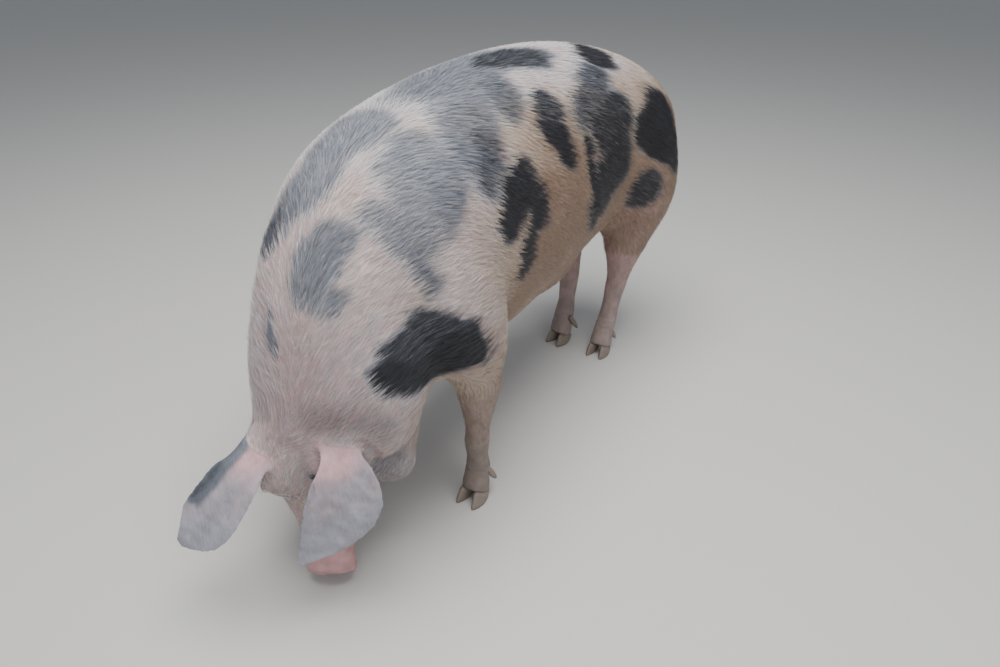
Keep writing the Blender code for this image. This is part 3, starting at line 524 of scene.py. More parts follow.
# %% The spots
SPOTS = (
    ("loin", (0.016, -0.040, 0.862), 0.195, 0.092, -2, 0.70, 0.4),
    ("loin_top", (-0.125, 0.000, 0.868), 0.125, 0.055, -13, 0.90, 0.35),
    ("loin_lobe", (0.029, 0.069, 0.833), 0.068, 0.050, 53, 0.75, 0.45),
    ("far_rump", (-0.379, 0.079, 0.847), 0.077, 0.057, 1, 1.0, 0.2),
    ("side_bar_top", (-0.065, 0.124, 0.797), 0.044, 0.038, -23, 0.88, 0.3),
    ("side_bar", (-0.050, 0.160, 0.737), 0.066, 0.036, -62, 1.0, 0.2),
    ("thigh_top", (-0.235, 0.146, 0.788), 0.118, 0.050, 24, 0.82, 0.4),
    ("thigh_mid", (-0.281, 0.189, 0.716), 0.099, 0.069, 4, 0.90, 0.3),
    ("thigh_low", (-0.257, 0.200, 0.602), 0.121, 0.068, 42, 0.95, 0.3),
    ("thigh_crease", (-0.167, 0.192, 0.655), 0.069, 0.018, -82, 1.0, 0.3),
    ("rump_back", (-0.492, 0.229, 0.678), 0.106, 0.086, 7, 1.0, 0.2),
    ("rump_edge", (-0.559, 0.257, 0.611), 0.067, 0.045, -86, 1.0, 0.3),
    ("ham_spot", (-0.430, 0.233, 0.528), 0.060, 0.042, 14, 0.90, 0.35),
    ("flank_top", (0.185, 0.134, 0.758), 0.055, 0.038, 53, 0.82, 0.4),
    ("flank", (0.142, 0.169, 0.682), 0.092, 0.048, 47, 1.0, 0.2),
    ("flank_side", (0.076, 0.181, 0.641), 0.052, 0.046, -70, 1.0, 0.2),
    ("flank_low", (0.106, 0.183, 0.568), 0.056, 0.028, 77, 1.0, 0.2),
    ("saddle_top", (0.174, 0.087, 0.803), 0.114, 0.066, 45, 0.68, 0.4),
    ("saddle_ridge", (0.194, 0.050, 0.826), 0.068, 0.035, 46, 0.58, 0.5),
    ("saddle", (0.332, 0.087, 0.769), 0.100, 0.062, 40, 0.62, 0.4),
    ("saddle_back", (0.320, 0.134, 0.730), 0.088, 0.040, 34, 0.66, 0.4),
    ("saddle_low", (0.421, 0.098, 0.712), 0.072, 0.033, 75, 0.60, 0.4),
    ("saddle_toe", (0.424, 0.120, 0.682), 0.033, 0.025, 64, 0.62, 0.4),
    ("side_spot", (0.416, 0.145, 0.629), 0.044, 0.024, 80, 0.68, 0.5),
    ("withers", (0.508, 0.027, 0.682), 0.060, 0.050, -30, 0.60, 0.4),
    ("withers_low", (0.540, 0.034, 0.636), 0.050, 0.030, 79, 0.52, 0.5),
    ("back_front", (0.333, -0.067, 0.802), 0.094, 0.062, -13, 0.64, 0.4),
    ("back_mid", (0.425, -0.075, 0.751), 0.080, 0.060, -33, 0.66, 0.4),
    ("back_low", (0.477, -0.086, 0.705), 0.070, 0.040, -53, 0.70, 0.4),
    ("far_side", (0.498, -0.097, 0.677), 0.048, 0.027, -38, 0.80, 0.3),
    ("neck_spot", (0.583, -0.042, 0.547), 0.040, 0.013, 10, 0.65, 0.3),
    ("shoulder", (0.426, 0.160, 0.508), 0.100, 0.060, -83, 0.88, 0.15),
    ("shoulder_low", (0.486, 0.146, 0.483), 0.050, 0.034, -69, 0.98, 0.30),
    ("shoulder_under", (0.425, 0.152, 0.455), 0.096, 0.040, -86, 1.0, 0.25),
    ("shoulder_heel", (0.366, 0.182, 0.462), 0.056, 0.046, -80, 1.0, 0.25),
    ("shoulder_top", (0.420, 0.162, 0.548), 0.060, 0.022, 85, 0.85, 0.3),
    # elbow: a small dark mark in the crease at the rear of the elbow.
    ("elbow", (0.286, 0.211, 0.436), 0.022, 0.008, -8, 0.80, 0.5),
    ("ear_spot", (0.638, 0.056, 0.319), 0.022, 0.010, 9, 1.0, 0.2),
    ("cheek", (0.478, 0.100, 0.272), 0.065, 0.050, -62, 0.34, 0.7),
    ("right_side", (0.060, -0.250, 0.640), 0.130, 0.080, 25, 0.95, 0.25),
    ("right_side_lobe", (0.135, -0.238, 0.575), 0.060, 0.034, 60, 0.95, 0.3),
    ("right_side_tail", (-0.050, -0.245, 0.700), 0.060, 0.024, 30, 0.80, 0.4),
    ("right_back", (-0.060, -0.180, 0.760), 0.120, 0.060, -20, 0.60, 0.5),
    ("right_thigh", (-0.420, -0.190, 0.640), 0.120, 0.090, 30, 1.0, 0.25),
    ("right_thigh_top", (-0.330, -0.140, 0.760), 0.110, 0.060, -10, 0.65, 0.5),
    ("right_shoulder", (0.380, -0.200, 0.520), 0.080, 0.060, 40, 0.90, 0.25),
    ("right_shoulder_lobe", (0.395, -0.185, 0.585), 0.050, 0.026, -50, 0.75, 0.4),
    ("right_shoulder_foot", (0.340, -0.205, 0.450), 0.042, 0.024, 20, 0.90, 0.4),
    ("right_belly", (-0.180, -0.240, 0.470), 0.060, 0.040, 10, 0.70, 0.5),
)


def spot_frame(middle):
    """The hide's directions at a spot: along the body, round the girth and outward."""
    here = along_body(np.array([middle]))
    run, around = here["run"][0], here["round"][0]
    return run, around, unit(np.cross(run, around))


def darkness_of(at):
    """How dark the skin is at each point, 0 to 1, with ragged edges."""
    warp = np.stack([wave(at, 0.150, 31 + k, 4) for k in range(3)], axis=1) * 0.0105
    moved = at + warp
    dark = np.zeros(len(at))
    for _, middle, half_long, half_wide, turn, strength, soft in SPOTS:
        run, around, outward = spot_frame(middle)
        angle = math.radians(turn)
        long_way = run * math.cos(angle) + around * math.sin(angle)
        wide_way = -run * math.sin(angle) + around * math.cos(angle)
        off = moved - np.array(middle)
        reach = np.sqrt((off @ long_way / half_long) ** 2 + (off @ wide_way / half_wide) ** 2
                        + (off @ outward / max(half_long, 0.06)) ** 2)
        dark = np.maximum(dark, strength * ease(1 + soft, 1 - soft * 0.6, reach))
    return dark


# %% [markdown]
# ## Colour of skin and hair
# The upper body is clean and white-haired. Toward the belly, thighs and the rear the hair
# is stained ochre and brown by bedding, and low on the flank it is darker, partly stain and partly
# painted shade. A painted shade darkens the hollow at the nape. The skin shows pinker on the neck, ears and legs.

# %% Colours worked out at a point
PINK = np.array([0.50, 0.33, 0.32])
DEEP_PINK = np.array([0.54, 0.32, 0.34])
PALE = np.array([0.56, 0.44, 0.42])
BLUE_GREY = np.array([0.135, 0.15, 0.18])
EAR_LILAC = np.array([0.43, 0.35, 0.385])
EAR_GREY = np.array([0.33, 0.335, 0.385])
LEG_TAN = np.array([0.33, 0.245, 0.205])
BLACK_SKIN = np.array([0.030, 0.032, 0.040])
OCHRE_SKIN = np.array([0.27, 0.17, 0.125])
WHITE_HAIR = np.array([0.79, 0.775, 0.785])
FLANK_HAIR = np.array([0.70, 0.585, 0.54])
LOW_FLANK_STAINED_SHADED_HAIR = np.array([0.50, 0.39, 0.33])
CREAM_HAIR = np.array([0.66, 0.55, 0.43])
OCHRE_HAIR = np.array([0.37, 0.25, 0.165])
CROWN_HAIR = np.array([0.72, 0.74, 0.78])
GREY_HAIR = np.array([0.245, 0.270, 0.320])
BLACK_HAIR = np.array([0.030, 0.030, 0.037])
DIRT = np.array([0.16, 0.135, 0.12])
BULGE_PINK = np.array([0.61, 0.375, 0.395])
SNOUT_PINK = np.array([0.58, 0.33, 0.33])


def off_head(at):
    """1 behind the head and neck, where low points belong to the legs."""
    return ease(0.44, 0.38, at[:, 0])


def off_neck(at, here):
    """1 on the trunk and the legs, fading out toward the neck."""
    return np.maximum(ease(1.25, 1.0, here["along"]), ease(0.50, 0.30, at[:, 0]) * ease(0.62, 0.40, at[:, 2]))


def stain_of(at, here):
    """How far bedding has stained the hair, from the height and the girth."""
    low = ease(0.90, 0.64, at[:, 2])
    rear = ease(0.36, -0.02, at[:, 0])
    belly = ease(0.62, 0.40, at[:, 2])
    return np.clip(low * rear * 0.95 + belly * 0.40, 0, 1) * off_neck(at, here)


def column(values):
    return values[:, None]


def nape_shade(at):
    """Painted shade: darker in the hollow where the neck meets the head and the ear."""
    line = np.array([(0.590, 0.040, 0.412), (0.560, 0.095, 0.410), (0.528, 0.125, 0.385)])
    close, _ = groove_along(at, line, 0.055)
    return 1 - 0.38 * close


def skin_base(at, here, owner_names):
    stain = np.clip(stain_of(at, here) + wave(at, 0.12, 51) * 0.12, 0, 1)
    colour = mix(PALE, PINK, column(np.clip(0.55 + wave(at, 0.16, 52) * 0.35, 0, 1)))
    colour = mix(colour, OCHRE_SKIN, column(stain * 0.75))
    neck = bump_at(at, np.array([0.56, 0.04, 0.47]), (0.18, 0.22, 0.20))
    colour = mix(colour, DEEP_PINK, column(0.75 * neck))
    bulge = bump_at(at, np.array([0.600, 0.045, 0.352]), (0.050, 0.050, 0.055))
    colour = mix(colour, BULGE_PINK, column(np.clip(1.6 * bulge, 0, 1)))
    hind = ease(0.0, -0.1, at[:, 0])
    leg = ease(0.42, 0.30, at[:, 2] - 0.12 * hind * ease(-0.30, -0.40, at[:, 0])) * off_head(at)
    colour = mix(colour, mix(LEG_TAN, PINK * 0.92, column(hind)), column(leg))
    dirty = ease(0.31, 0.10, at[:, 2] + wave(at, 0.05, 53, 3) * 0.07) * leg
    colour = mix(colour, DIRT * mix(1.25, 1.6, column(hind)), column(0.80 * dirty))
    for number, name in enumerate(FLESH):
        mask = owner_names == number
        if not mask.any():
            continue
        if name.startswith("ear"):
            tone = np.clip(0.5 + wave(at[mask], 0.06, 54, 3) * 0.55, 0, 1)
            tip = ease(0.31, 0.20, at[mask][:, 2])
            ear = mix(EAR_LILAC, EAR_GREY, column(np.clip(tone * 0.6 + tip * 0.7 + 0.1, 0, 1)))
            ear = ear * column(1 + 0.20 * wave(at[mask], 0.020, 56, 3))
            root = ease(0.076, 0.034, np.linalg.norm(at[mask] - EAR_ROOTS[name[4:]], axis=1))
            colour[mask] = mix(ear, BULGE_PINK * 0.96, column(root))
    bare = ease(0.165, 0.295, (at - POLL) @ DOWN_FACE) * (1 - off_head(at))
    disc = mix(SNOUT_PINK, SNOUT_PINK * np.array([0.66, 0.72, 0.70]), column(np.clip(wave(at, 0.03, 55), 0, 1) * 0.6))
    on_ears = np.isin(owner_names, [FLESH.index("ear_left"), FLESH.index("ear_right")])
    colour = mix(colour, disc, column(bare * ~on_ears))
    return colour


def skin_colour(at, base, stain, dark):
    """The base colour with the spots laid in, darkened by the painted shade at the nape."""
    grey = mix(BLUE_GREY, BLACK_SKIN, column(ease(0.62, 0.95, dark)))
    grey = mix(grey, grey * np.array([1.15, 0.95, 0.85]), column(stain))
    return mix(base, grey, column(ease(0.10, 0.50, dark))) * column(nape_shade(at))


def hair_colour(at, here, dark, chance):
    """chance is a random number for each tuft, and it mixes white hairs into the grey spots."""
    stain = np.clip(stain_of(at, here) + wave(at, 0.12, 51) * 0.15 + (chance - 0.5) * 0.25, 0, 1)
    flank = ease(0.80, 0.64, at[:, 2]) * off_neck(at, here)
    colour = mix(WHITE_HAIR, FLANK_HAIR, column(flank * 0.85))
    # Darker and browner low on the flank: partly stain, partly painted shade of the underside.
    low_flank_stain_and_shade = ease(0.66, 0.50, at[:, 2]) * off_neck(at, here)
    colour = mix(colour, LOW_FLANK_STAINED_SHADED_HAIR, column(low_flank_stain_and_shade * 0.8))
    colour = mix(colour, CREAM_HAIR, column(ease(0.05, 0.45, stain)))
    colour = mix(colour, OCHRE_HAIR, column(ease(0.40, 0.95, stain)))
    spread = dark + (chance - 0.5) * 0.24
    greyed = mix(colour, GREY_HAIR * mix(1.0, colour / colour.max(1)[:, None], 0.6), column(ease(0.15, 0.80, spread)))
    # The painted shade at the nape darkens the hair too.
    return mix(greyed, BLACK_HAIR, column(ease(0.66, 0.96, spread))) * column(nape_shade(at))


# %% Store the colours and the hair's directions on the skin
here = along_body(points)
dark = darkness_of(points)
names = owner
ear_or_snout = np.isin(names, [FLESH.index(n) for n in ("ear_left", "ear_right", "snout", "tail")])
legs_here = (points[:, 2] < 0.34) & (off_head(points) > 0.5)
dark = np.where(ear_or_snout | legs_here, dark * 0.25, dark)
EAR_BAND = np.array([(0.646, -0.088, 0.362), (0.668, -0.098, 0.345), (0.692, -0.112, 0.318), (0.718, -0.136, 0.285)])
band, _ = groove_along(points + wave(points, 0.03, 71)[:, None] * 0.003, EAR_BAND, 0.034)
dark = np.maximum(dark, 0.80 * band * (owner == FLESH.index("ear_right")))
# Painted shade darkens the skin along the mouth's crease, and the ear veins are made a little lighter.
base = skin_base(points, here, names) * column((1 + 0.16 * vein_mark) * (1 - 0.6 * lip_crease_shade))
for _ in range(9):
    base = averaged(base, edges, degree)
colours = skin_colour(points, base, stain_of(points, here), dark)
BACKSWEEP = math.radians(32)


def lie_of(at, here, owners, normal):
    """The way the hair points at each place, lying in the skin's surface."""
    side = np.sign(here["angle"])[:, None] * ease(0.0, 0.35, np.abs(here["angle"]))[:, None]
    way = -here["run"] * math.cos(BACKSWEEP) + here["round"] * side * math.sin(BACKSWEEP)
    front = ease(0.95, 1.10, here["along"])[:, None] * ease(1.36, 1.20, here["along"])[:, None]
    way = mix(way, -here["run"] * 0.80 + here["round"] * side * 0.60, front)
    down = np.array([0, 0, -1.0])
    leg = column(ease(0.42, 0.30, at[:, 2]) * off_head(at))
    way = unit(mix(unit(way), down + np.array([-0.15, 0, 0]), leg))
    ways = {"ear_left": unit(np.array([0.10, 0.03, -0.21])), "ear_right": unit(np.array([0.14, -0.09, -0.17])),
            "tail": down}
    for name, to in ways.items():
        way[owners == FLESH.index(name)] = to
    way = way - normal * (way * normal).sum(1)[:, None]
    return unit(way)


on_ear = np.isin(owner, [FLESH.index("ear_left"), FLESH.index("ear_right")])
side_sign = np.sign(here["angle"])
girth = np.abs(here["angle"]) * np.maximum(here["out"], 0.05)
lengthwise = here["along"]
flow = np.stack([-lengthwise * math.cos(BACKSWEEP) + girth * math.sin(BACKSWEEP),
                 lengthwise * math.sin(BACKSWEEP) + girth * math.cos(BACKSWEEP), side_sign * 0.3], axis=1)


leg_number = (points[:, 0] > 0) * 2 + (points[:, 1] > np.where(points[:, 0] > 0, 0.0, 0.06))
LEG_MIDDLES = np.array([(-0.53, -0.01), (-0.53, 0.14), (0.26, -0.12), (0.24, 0.13)])
off_leg = points[:, :2] - LEG_MIDDLES[leg_number]
leg_flow = np.stack([-points[:, 2], np.arctan2(off_leg[:, 1], off_leg[:, 0]) * 0.045, leg_number * 0.7], axis=1)
flow[legs_here] = leg_flow[legs_here]
flow[on_ear] = np.stack([points[on_ear, 2] * 1.5, (points[on_ear] @ TO_LEFT) * 0.6 + points[on_ear, 2] * 0.1,
                         points[on_ear, 0]], axis=1)


def store(obj, name, values, kind):
    layer = obj.data.attributes.new(name, kind, "POINT")
    field = {"FLOAT": "value", "FLOAT_COLOR": "color", "FLOAT_VECTOR": "vector"}[kind]
    if kind == "FLOAT_COLOR":
        values = np.concatenate([values, np.ones((len(values), 1))], axis=1)
    layer.data.foreach_set(field, values.astype(np.float32).ravel())


hairy = np.ones(len(points))
hairy[ear_or_snout] = 0.0
hairy[on_ear] = 0.16
hairy *= mix(1.0, ease(0.26, 0.44, points[:, 2]), off_head(points))
hairy *= 1 - ease(0.150, 0.275, (points - POLL) @ DOWN_FACE) * (1 - off_head(points))
store(skin, "skin_tone", colours, "FLOAT_COLOR")
store(skin, "undercoat", hair_colour(points, here, dark, np.full(len(points), 0.5)), "FLOAT_COLOR")
store(skin, "hair_flow", flow, "FLOAT_VECTOR")
store(skin, "hairy", hairy, "FLOAT")
print("dark share of the hide:", round(float((dark > 0.4).mean()), 2))


# %% [markdown]
# ## The skin's finish
# Living skin is soft and a little moist, with fine pores. Between the bristles a short
# undercoat shows as streaks that run with the hair. On the disc and ears the skin is bare.

# %% Skin material
def new_material(name):
    material = bpy.data.materials.new(name)
    material.use_nodes = True
    tree = material.node_tree
    shader = tree.nodes["Principled BSDF"]
    return material, tree, shader


def node(tree, kind, **settings):
    made = tree.nodes.new(kind)
    for key, value in settings.items():
        if key in made.inputs:
            made.inputs[key].default_value = value
        else:
            setattr(made, key, value)
    return made


def attribute(tree, name):
    return node(tree, "ShaderNodeAttribute", attribute_name=name)


def mixed(tree, factor, a, b, blend="MIX"):
    """A colour mix; factor, a and b are sockets or plain values."""
    made = node(tree, "ShaderNodeMix", data_type="RGBA", blend_type=blend)
    for index, value in ((0, factor), (6, a), (7, b)):
        if hasattr(value, "is_linked"):
            tree.links.new(value, made.inputs[index])
        else:
            made.inputs[index].default_value = value
    return made.outputs[2]


hide, tree, shader = new_material("hide")
tone = attribute(tree, "skin_tone").outputs["Color"]
under = attribute(tree, "undercoat").outputs["Color"]
bare = attribute(tree, "hairy").outputs["Fac"]
stretch = node(tree, "ShaderNodeVectorMath", operation="MULTIPLY")
stretch.inputs[1].default_value = (28.0, 520.0, 1.0)
tree.links.new(attribute(tree, "hair_flow").outputs["Vector"], stretch.inputs[0])
streaks = node(tree, "ShaderNodeTexNoise", Scale=1.0, Detail=3.0, Roughness=0.65)
tree.links.new(stretch.outputs[0], streaks.inputs["Vector"])
streak_ramp = node(tree, "ShaderNodeMapRange", **{"From Min": 0.46, "From Max": 0.62})
tree.links.new(streaks.outputs["Fac"], streak_ramp.inputs["Value"])
streak_share = node(tree, "ShaderNodeMath", operation="MULTIPLY")
tree.links.new(streak_ramp.outputs["Result"], streak_share.inputs[0])
tree.links.new(bare, streak_share.inputs[1])
place = node(tree, "ShaderNodeTexCoord").outputs["Object"]
blotch = node(tree, "ShaderNodeTexNoise", Scale=42.0, Detail=4.0, Roughness=0.6)
tree.links.new(place, blotch.inputs["Vector"])
blotch_ramp = node(tree, "ShaderNodeMapRange", **{"From Min": 0.35, "From Max": 0.70, "To Min": 0.86, "To Max": 1.10})
tree.links.new(blotch.outputs["Fac"], blotch_ramp.inputs["Value"])
spotted = node(tree, "ShaderNodeVectorMath", operation="SCALE")
tree.links.new(tone, spotted.inputs[0])
tree.links.new(blotch_ramp.outputs["Result"], spotted.inputs["Scale"])
half = node(tree, "ShaderNodeMath", operation="MULTIPLY")
half.inputs[1].default_value = 0.55
tree.links.new(streak_share.outputs[0], half.inputs[0])
tree.links.new(mixed(tree, half.outputs[0], spotted.outputs[0], under), shader.inputs["Base Color"])
pores = node(tree, "ShaderNodeTexVoronoi", Scale=620.0)
tree.links.new(place, pores.inputs["Vector"])
wrinkles = node(tree, "ShaderNodeTexNoise", Scale=150.0, Detail=4.0)
tree.links.new(place, wrinkles.inputs["Vector"])
pore_bump = node(tree, "ShaderNodeBump", Strength=0.25, Distance=0.0006)
tree.links.new(pores.outputs["Distance"], pore_bump.inputs["Height"])
wrinkle_bump = node(tree, "ShaderNodeBump", Strength=0.35, Distance=0.0012)
tree.links.new(wrinkles.outputs["Fac"], wrinkle_bump.inputs["Height"])
tree.links.new(pore_bump.outputs["Normal"], wrinkle_bump.inputs["Normal"])
hair_bump = node(tree, "ShaderNodeBump", Strength=0.55, Distance=0.0015)
tree.links.new(streak_share.outputs[0], hair_bump.inputs["Height"])
tree.links.new(wrinkle_bump.outputs["Normal"], hair_bump.inputs["Normal"])
tree.links.new(hair_bump.outputs["Normal"], shader.inputs["Normal"])
shader.inputs["Roughness"].default_value = 0.58
shader.inputs["Specular IOR Level"].default_value = 0.35
shader.inputs["Subsurface Weight"].default_value = 0.08
shader.inputs["Subsurface Radius"].default_value = (0.006, 0.0025, 0.0015)
skin.data.materials.clear()
skin.data.materials.append(hide)
skin.data.shade_smooth()
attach(skin, "root")
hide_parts(*FLESH)

# %% [markdown]
# ## The coat
# A pig's bristles are straight, stiff and sparse, three to four centimetres long on the
# body. They lie flat and sweep back and down. Here they are small tufts of flat blades
# that share a root, bend with the body and close to a point.

# %% Sow the roots
HAIRS = {  # tufts on a square metre, blade length and half width, lift of the tip
    "trunk": (32000, 0.025, 0.00020, 0.0040), "neck": (29000, 0.025, 0.00017, 0.0040),
    "head": (52000, 0.015, 0.00015, 0.0026), "leg": (30000, 0.013, 0.00013, 0.0016),
    "foot": (24000, 0.008, 0.00010, 0.0008), "ear": (9000, 0.010, 0.00008, 0.0008),
    "tail": (40000, 0.020, 0.00018, 0.0016), "snout": (50000, 0.012, 0.00013, 0.0014),
}
KIND_OF = {"foreleg": "leg", "hindleg": "leg", "forefoot": "foot", "hindfoot": "foot"}
KINDS = [KIND_OF.get(name.split("_")[0], name.split("_")[0]) for name in FLESH]
THINNING = 1.0

skin.data.calc_loop_triangles()
triangles = np.empty(len(skin.data.loop_triangles) * 3, dtype=np.int32)
skin.data.loop_triangles.foreach_get("vertices", triangles)
triangles = triangles.reshape(-1, 3)
a, b, c = (points[triangles[:, k]] for k in range(3))
area = np.linalg.norm(np.cross(b - a, c - a), axis=1) / 2
triangle_owner = owner[triangles[:, 0]]
density = np.array([HAIRS[kind][0] for kind in KINDS])[triangle_owner] * THINNING
expected = area * density
count = np.floor(expected + rng.random(len(expected))).astype(int)
rooted = np.repeat(np.arange(len(triangles)), count)
u, v = rng.random(len(rooted)), rng.random(len(rooted))
flip = u + v > 1
u[flip], v[flip] = 1 - u[flip], 1 - v[flip]
weights = np.stack([1 - u - v, u, v], axis=1)
roots = (points[triangles[rooted]] * weights[:, :, None]).sum(1)
root_normal = unit((normals[triangles[rooted]] * weights[:, :, None]).sum(1))
root_owner = triangle_owner[rooted]
root_here = along_body(roots)
root_dark = darkness_of(roots)
DISC_BARE, DISC_THIN = 0.042, 0.085
keep = np.ones(len(roots), bool)
for side in SIDES:
    keep &= np.linalg.norm(roots - EYES[side], axis=1) > 0.017
down_face = (roots - POLL) @ DOWN_FACE
on_face = np.isin(root_owner, [FLESH.index("head"), FLESH.index("snout")])
keep &= ~on_face | (rng.random(len(roots)) < mix(0.06, 1.0, ease(0.285, 0.150, down_face)))
keep &= np.linalg.norm(roots - DISC_MIDDLE, axis=1) > rng.uniform(DISC_BARE, DISC_THIN, len(roots))
keep &= roots[:, 2] > 0.045
print("tufts:", int(keep.sum()), "on", round(float(area.sum()), 2), "square metres")

roots, root_normal, root_owner, root_dark = roots[keep], root_normal[keep], root_owner[keep], root_dark[keep]
root_here = {key: value[keep] for key, value in root_here.items()}

# %% Lay each tuft along the body
skin_tree = BVHTree.FromPolygons([Vector(p) for p in points], triangles.tolist())
kind_of_root = np.array([list(HAIRS).index(kind) for kind in KINDS])[root_owner]
table = np.array([value for value in HAIRS.values()])
hair_length = table[kind_of_root, 1] * rng.uniform(0.75, 1.25, len(roots))
face_short = ease(0.02, 0.24, (roots - POLL) @ DOWN_FACE)
hair_length *= mix(1.0, 0.52, face_short * on_face[keep])
half_width = table[kind_of_root, 2]
lift = table[kind_of_root, 3] * rng.uniform(0.6, 1.2, len(roots))
loose = (rng.random(len(roots)) < 0.06) & np.isin(kind_of_root, [1, 2])
lift[loose] *= 2.4
lie = lie_of(roots, root_here, root_owner, root_normal)
turned = wave(roots, 0.16, 61) * 0.09 + wave(roots, 0.030, 62) * 0.05 + rng.normal(0, 0.07, len(roots))
cross = np.cross(root_normal, lie)
lie = lie * np.cos(turned)[:, None] + cross * np.sin(turned)[:, None]


def onto_skin(at):
    """Nearest places on the skin and the normals there."""
    place, normal = np.empty_like(at), np.empty_like(at)
    for i, p in enumerate(at):
        where, way, _, _ = skin_tree.find_nearest(Vector(p))
        place[i], normal[i] = where, way
    return place, normal


middle_place, middle_normal = onto_skin(roots + lie * hair_length[:, None] * 0.5)
middle_way = unit(middle_place - roots)
tip_place, tip_normal = onto_skin(middle_place + middle_way * hair_length[:, None] * 0.5)
middle_at = middle_place + middle_normal * (lift * 0.62)[:, None]
tip_at = tip_place + tip_normal * lift[:, None]
print("mean tuft, mm:", round(float(hair_length.mean() * 1000), 1))

# %% Turn the tufts into blades
BLADES = 5
POINTS_A_BLADE = 5
blade = np.arange(BLADES)
spread = (blade - (BLADES - 1) / 2) / (BLADES - 1)
clump = 0.0026 * np.minimum(1.0, hair_length / 0.025)
total = len(roots)
across_root = unit(np.cross(root_normal, lie))
across_tip = unit(np.cross(tip_normal, middle_way))
jitter = rng.normal(0, 1, (total, BLADES, 3))
corner = np.empty((total, BLADES, POINTS_A_BLADE, 3))
for k in range(BLADES):
    offset = (spread[k] * 1.2 + jitter[:, k, 0] * 0.25) * clump
    slide = lie * (jitter[:, k, 1] * 0.10 * hair_length)[:, None]
    roll = np.cos(jitter[:, k, 2] * 0.5)
    rise = np.sin(jitter[:, k, 2] * 0.5)
    wide_root = (across_root * roll[:, None] + root_normal * rise[:, None]) * half_width[:, None]
    wide_tip = (across_tip * roll[:, None] + tip_normal * rise[:, None]) * half_width[:, None] * 0.8
    base = roots + across_root * offset[:, None] + slide - root_normal * 0.0006
    mid = middle_at + across_root * (offset * 0.70)[:, None] + slide
    end = tip_at + across_tip * (offset * 0.30 + jitter[:, k, 0] * 0.03 * hair_length)[:, None] + slide * 1.3
    corner[:, k, 0] = base - wide_root
    corner[:, k, 1] = base + wide_root
    corner[:, k, 2] = mid - wide_tip
    corner[:, k, 3] = mid + wide_tip
    corner[:, k, 4] = end
chance = rng.random(total)
tuft_colour = hair_colour(roots, root_here, root_dark, chance)
under_tuft = colours[triangles[rooted, 0]][keep]
SKIN_SHARE = {"trunk": 0.10, "neck": 0.26, "head": 0.25, "snout": 0.35, "tail": 0.3, "ear": 0.70, "leg": 0.84,
              "foot": 0.90}
share = np.array([SKIN_SHARE[kind] for kind in KINDS])[root_owner]
crown = bump_at(roots, on_head(0.085, 0.0, -0.010), (0.085, 0.085, 0.075))
tuft_colour = mix(tuft_colour, CROWN_HAIR, column(0.6 * np.clip(1.5 * crown, 0, 1)))
tuft_colour = mix(tuft_colour, under_tuft, column(share))
tuft_colour *= rng.uniform(0.86, 1.08, (total, 1))
PATCH = 0.003
patch_u = (blade[None, :, None] + np.array([0, 0.8, 0, 0.8, 0.4])[None, None, :]) / BLADES
patch_v = np.array([0, 0, 0.5, 0.5, 1.0])[None, None, :]


# %% Coat material
def coat_material(name):
    material, tree, shader = new_material(name)
    own = attribute(tree, "hair_tone").outputs["Color"]
    tip = attribute(tree, "toward_tip").outputs["Fac"]
    shade = node(tree, "ShaderNodeMapRange", **{"To Min": 0.72, "To Max": 1.06})
    tree.links.new(tip, shade.inputs["Value"])
    scaled = node(tree, "ShaderNodeVectorMath", operation="SCALE")
    tree.links.new(own, scaled.inputs[0])
    tree.links.new(shade.outputs["Result"], scaled.inputs["Scale"])
    tree.links.new(scaled.outputs[0], shader.inputs["Base Color"])
    shader.inputs["Roughness"].default_value = 0.42
    shader.inputs["Specular IOR Level"].default_value = 0.45
    return material


bristle = coat_material("bristle")

# %% Make the coat's pieces
def piece_of(here, owners):
    """A number for each tuft: the coat is cut into pieces along and around the body."""
    cuts = np.array([0.26, 0.46, 0.66, 0.86, 1.03, 1.16, 1.30])
    number = np.digitize(here["along"], cuts) * 2 + (here["angle"] > 0)
    kinds = np.array(KINDS)[owners]
    number = np.where(kinds == "head", 20 + (here["angle"] > 0), number)
    number = np.where(np.isin(kinds, ["leg", "foot"]), 22, number)
    number = np.where(np.isin(kinds, ["ear"]), 24 + owners - FLESH.index("ear_left"), number)
    return np.where(kinds == "tail", 26, number)


def unwrap_of(at, here, number):
    """A flat map of the skin's own shape for one piece, between 0.01 and 0.99."""
    if number == 22:
        leg = (at[:, 0] > 0) * 2 + (at[:, 1] > np.where(at[:, 0] > 0, 0.0, 0.06))
        middle = np.array([(-0.53, -0.01), (-0.53, 0.14), (0.26, -0.12), (0.24, 0.13)])[leg]
        turn = np.arctan2(at[:, 1] - middle[:, 1], at[:, 0] - middle[:, 0]) / (2 * math.pi) + 0.5
        u, v = (leg + 0.04 + 0.92 * turn) / 4, at[:, 2] / 0.34
    elif number in (24, 25):
        back = (at @ OUT_OF_FACE > np.median(at @ OUT_OF_FACE)) * 0.5
        wide = at @ TO_LEFT
        u, v = back + 0.48 * (wide - wide.min()) / np.ptp(wide), (at[:, 2] - at[:, 2].min()) / np.ptp(at[:, 2])
    elif number == 26:
        u, v = np.arctan2(at[:, 1] - 0.07, at[:, 0] + 0.71) / (2 * math.pi) + 0.5, (at[:, 2] - 0.46) / 0.28
    else:
        u, v = here["along"], here["angle"]
        u, v = (u - u.min()) / np.ptp(u), (v - v.min()) / np.ptp(v)
    return 0.01 + 0.98 * np.clip(u, 0, 1), 0.01 + 0.98 * np.clip(v, 0, 1)


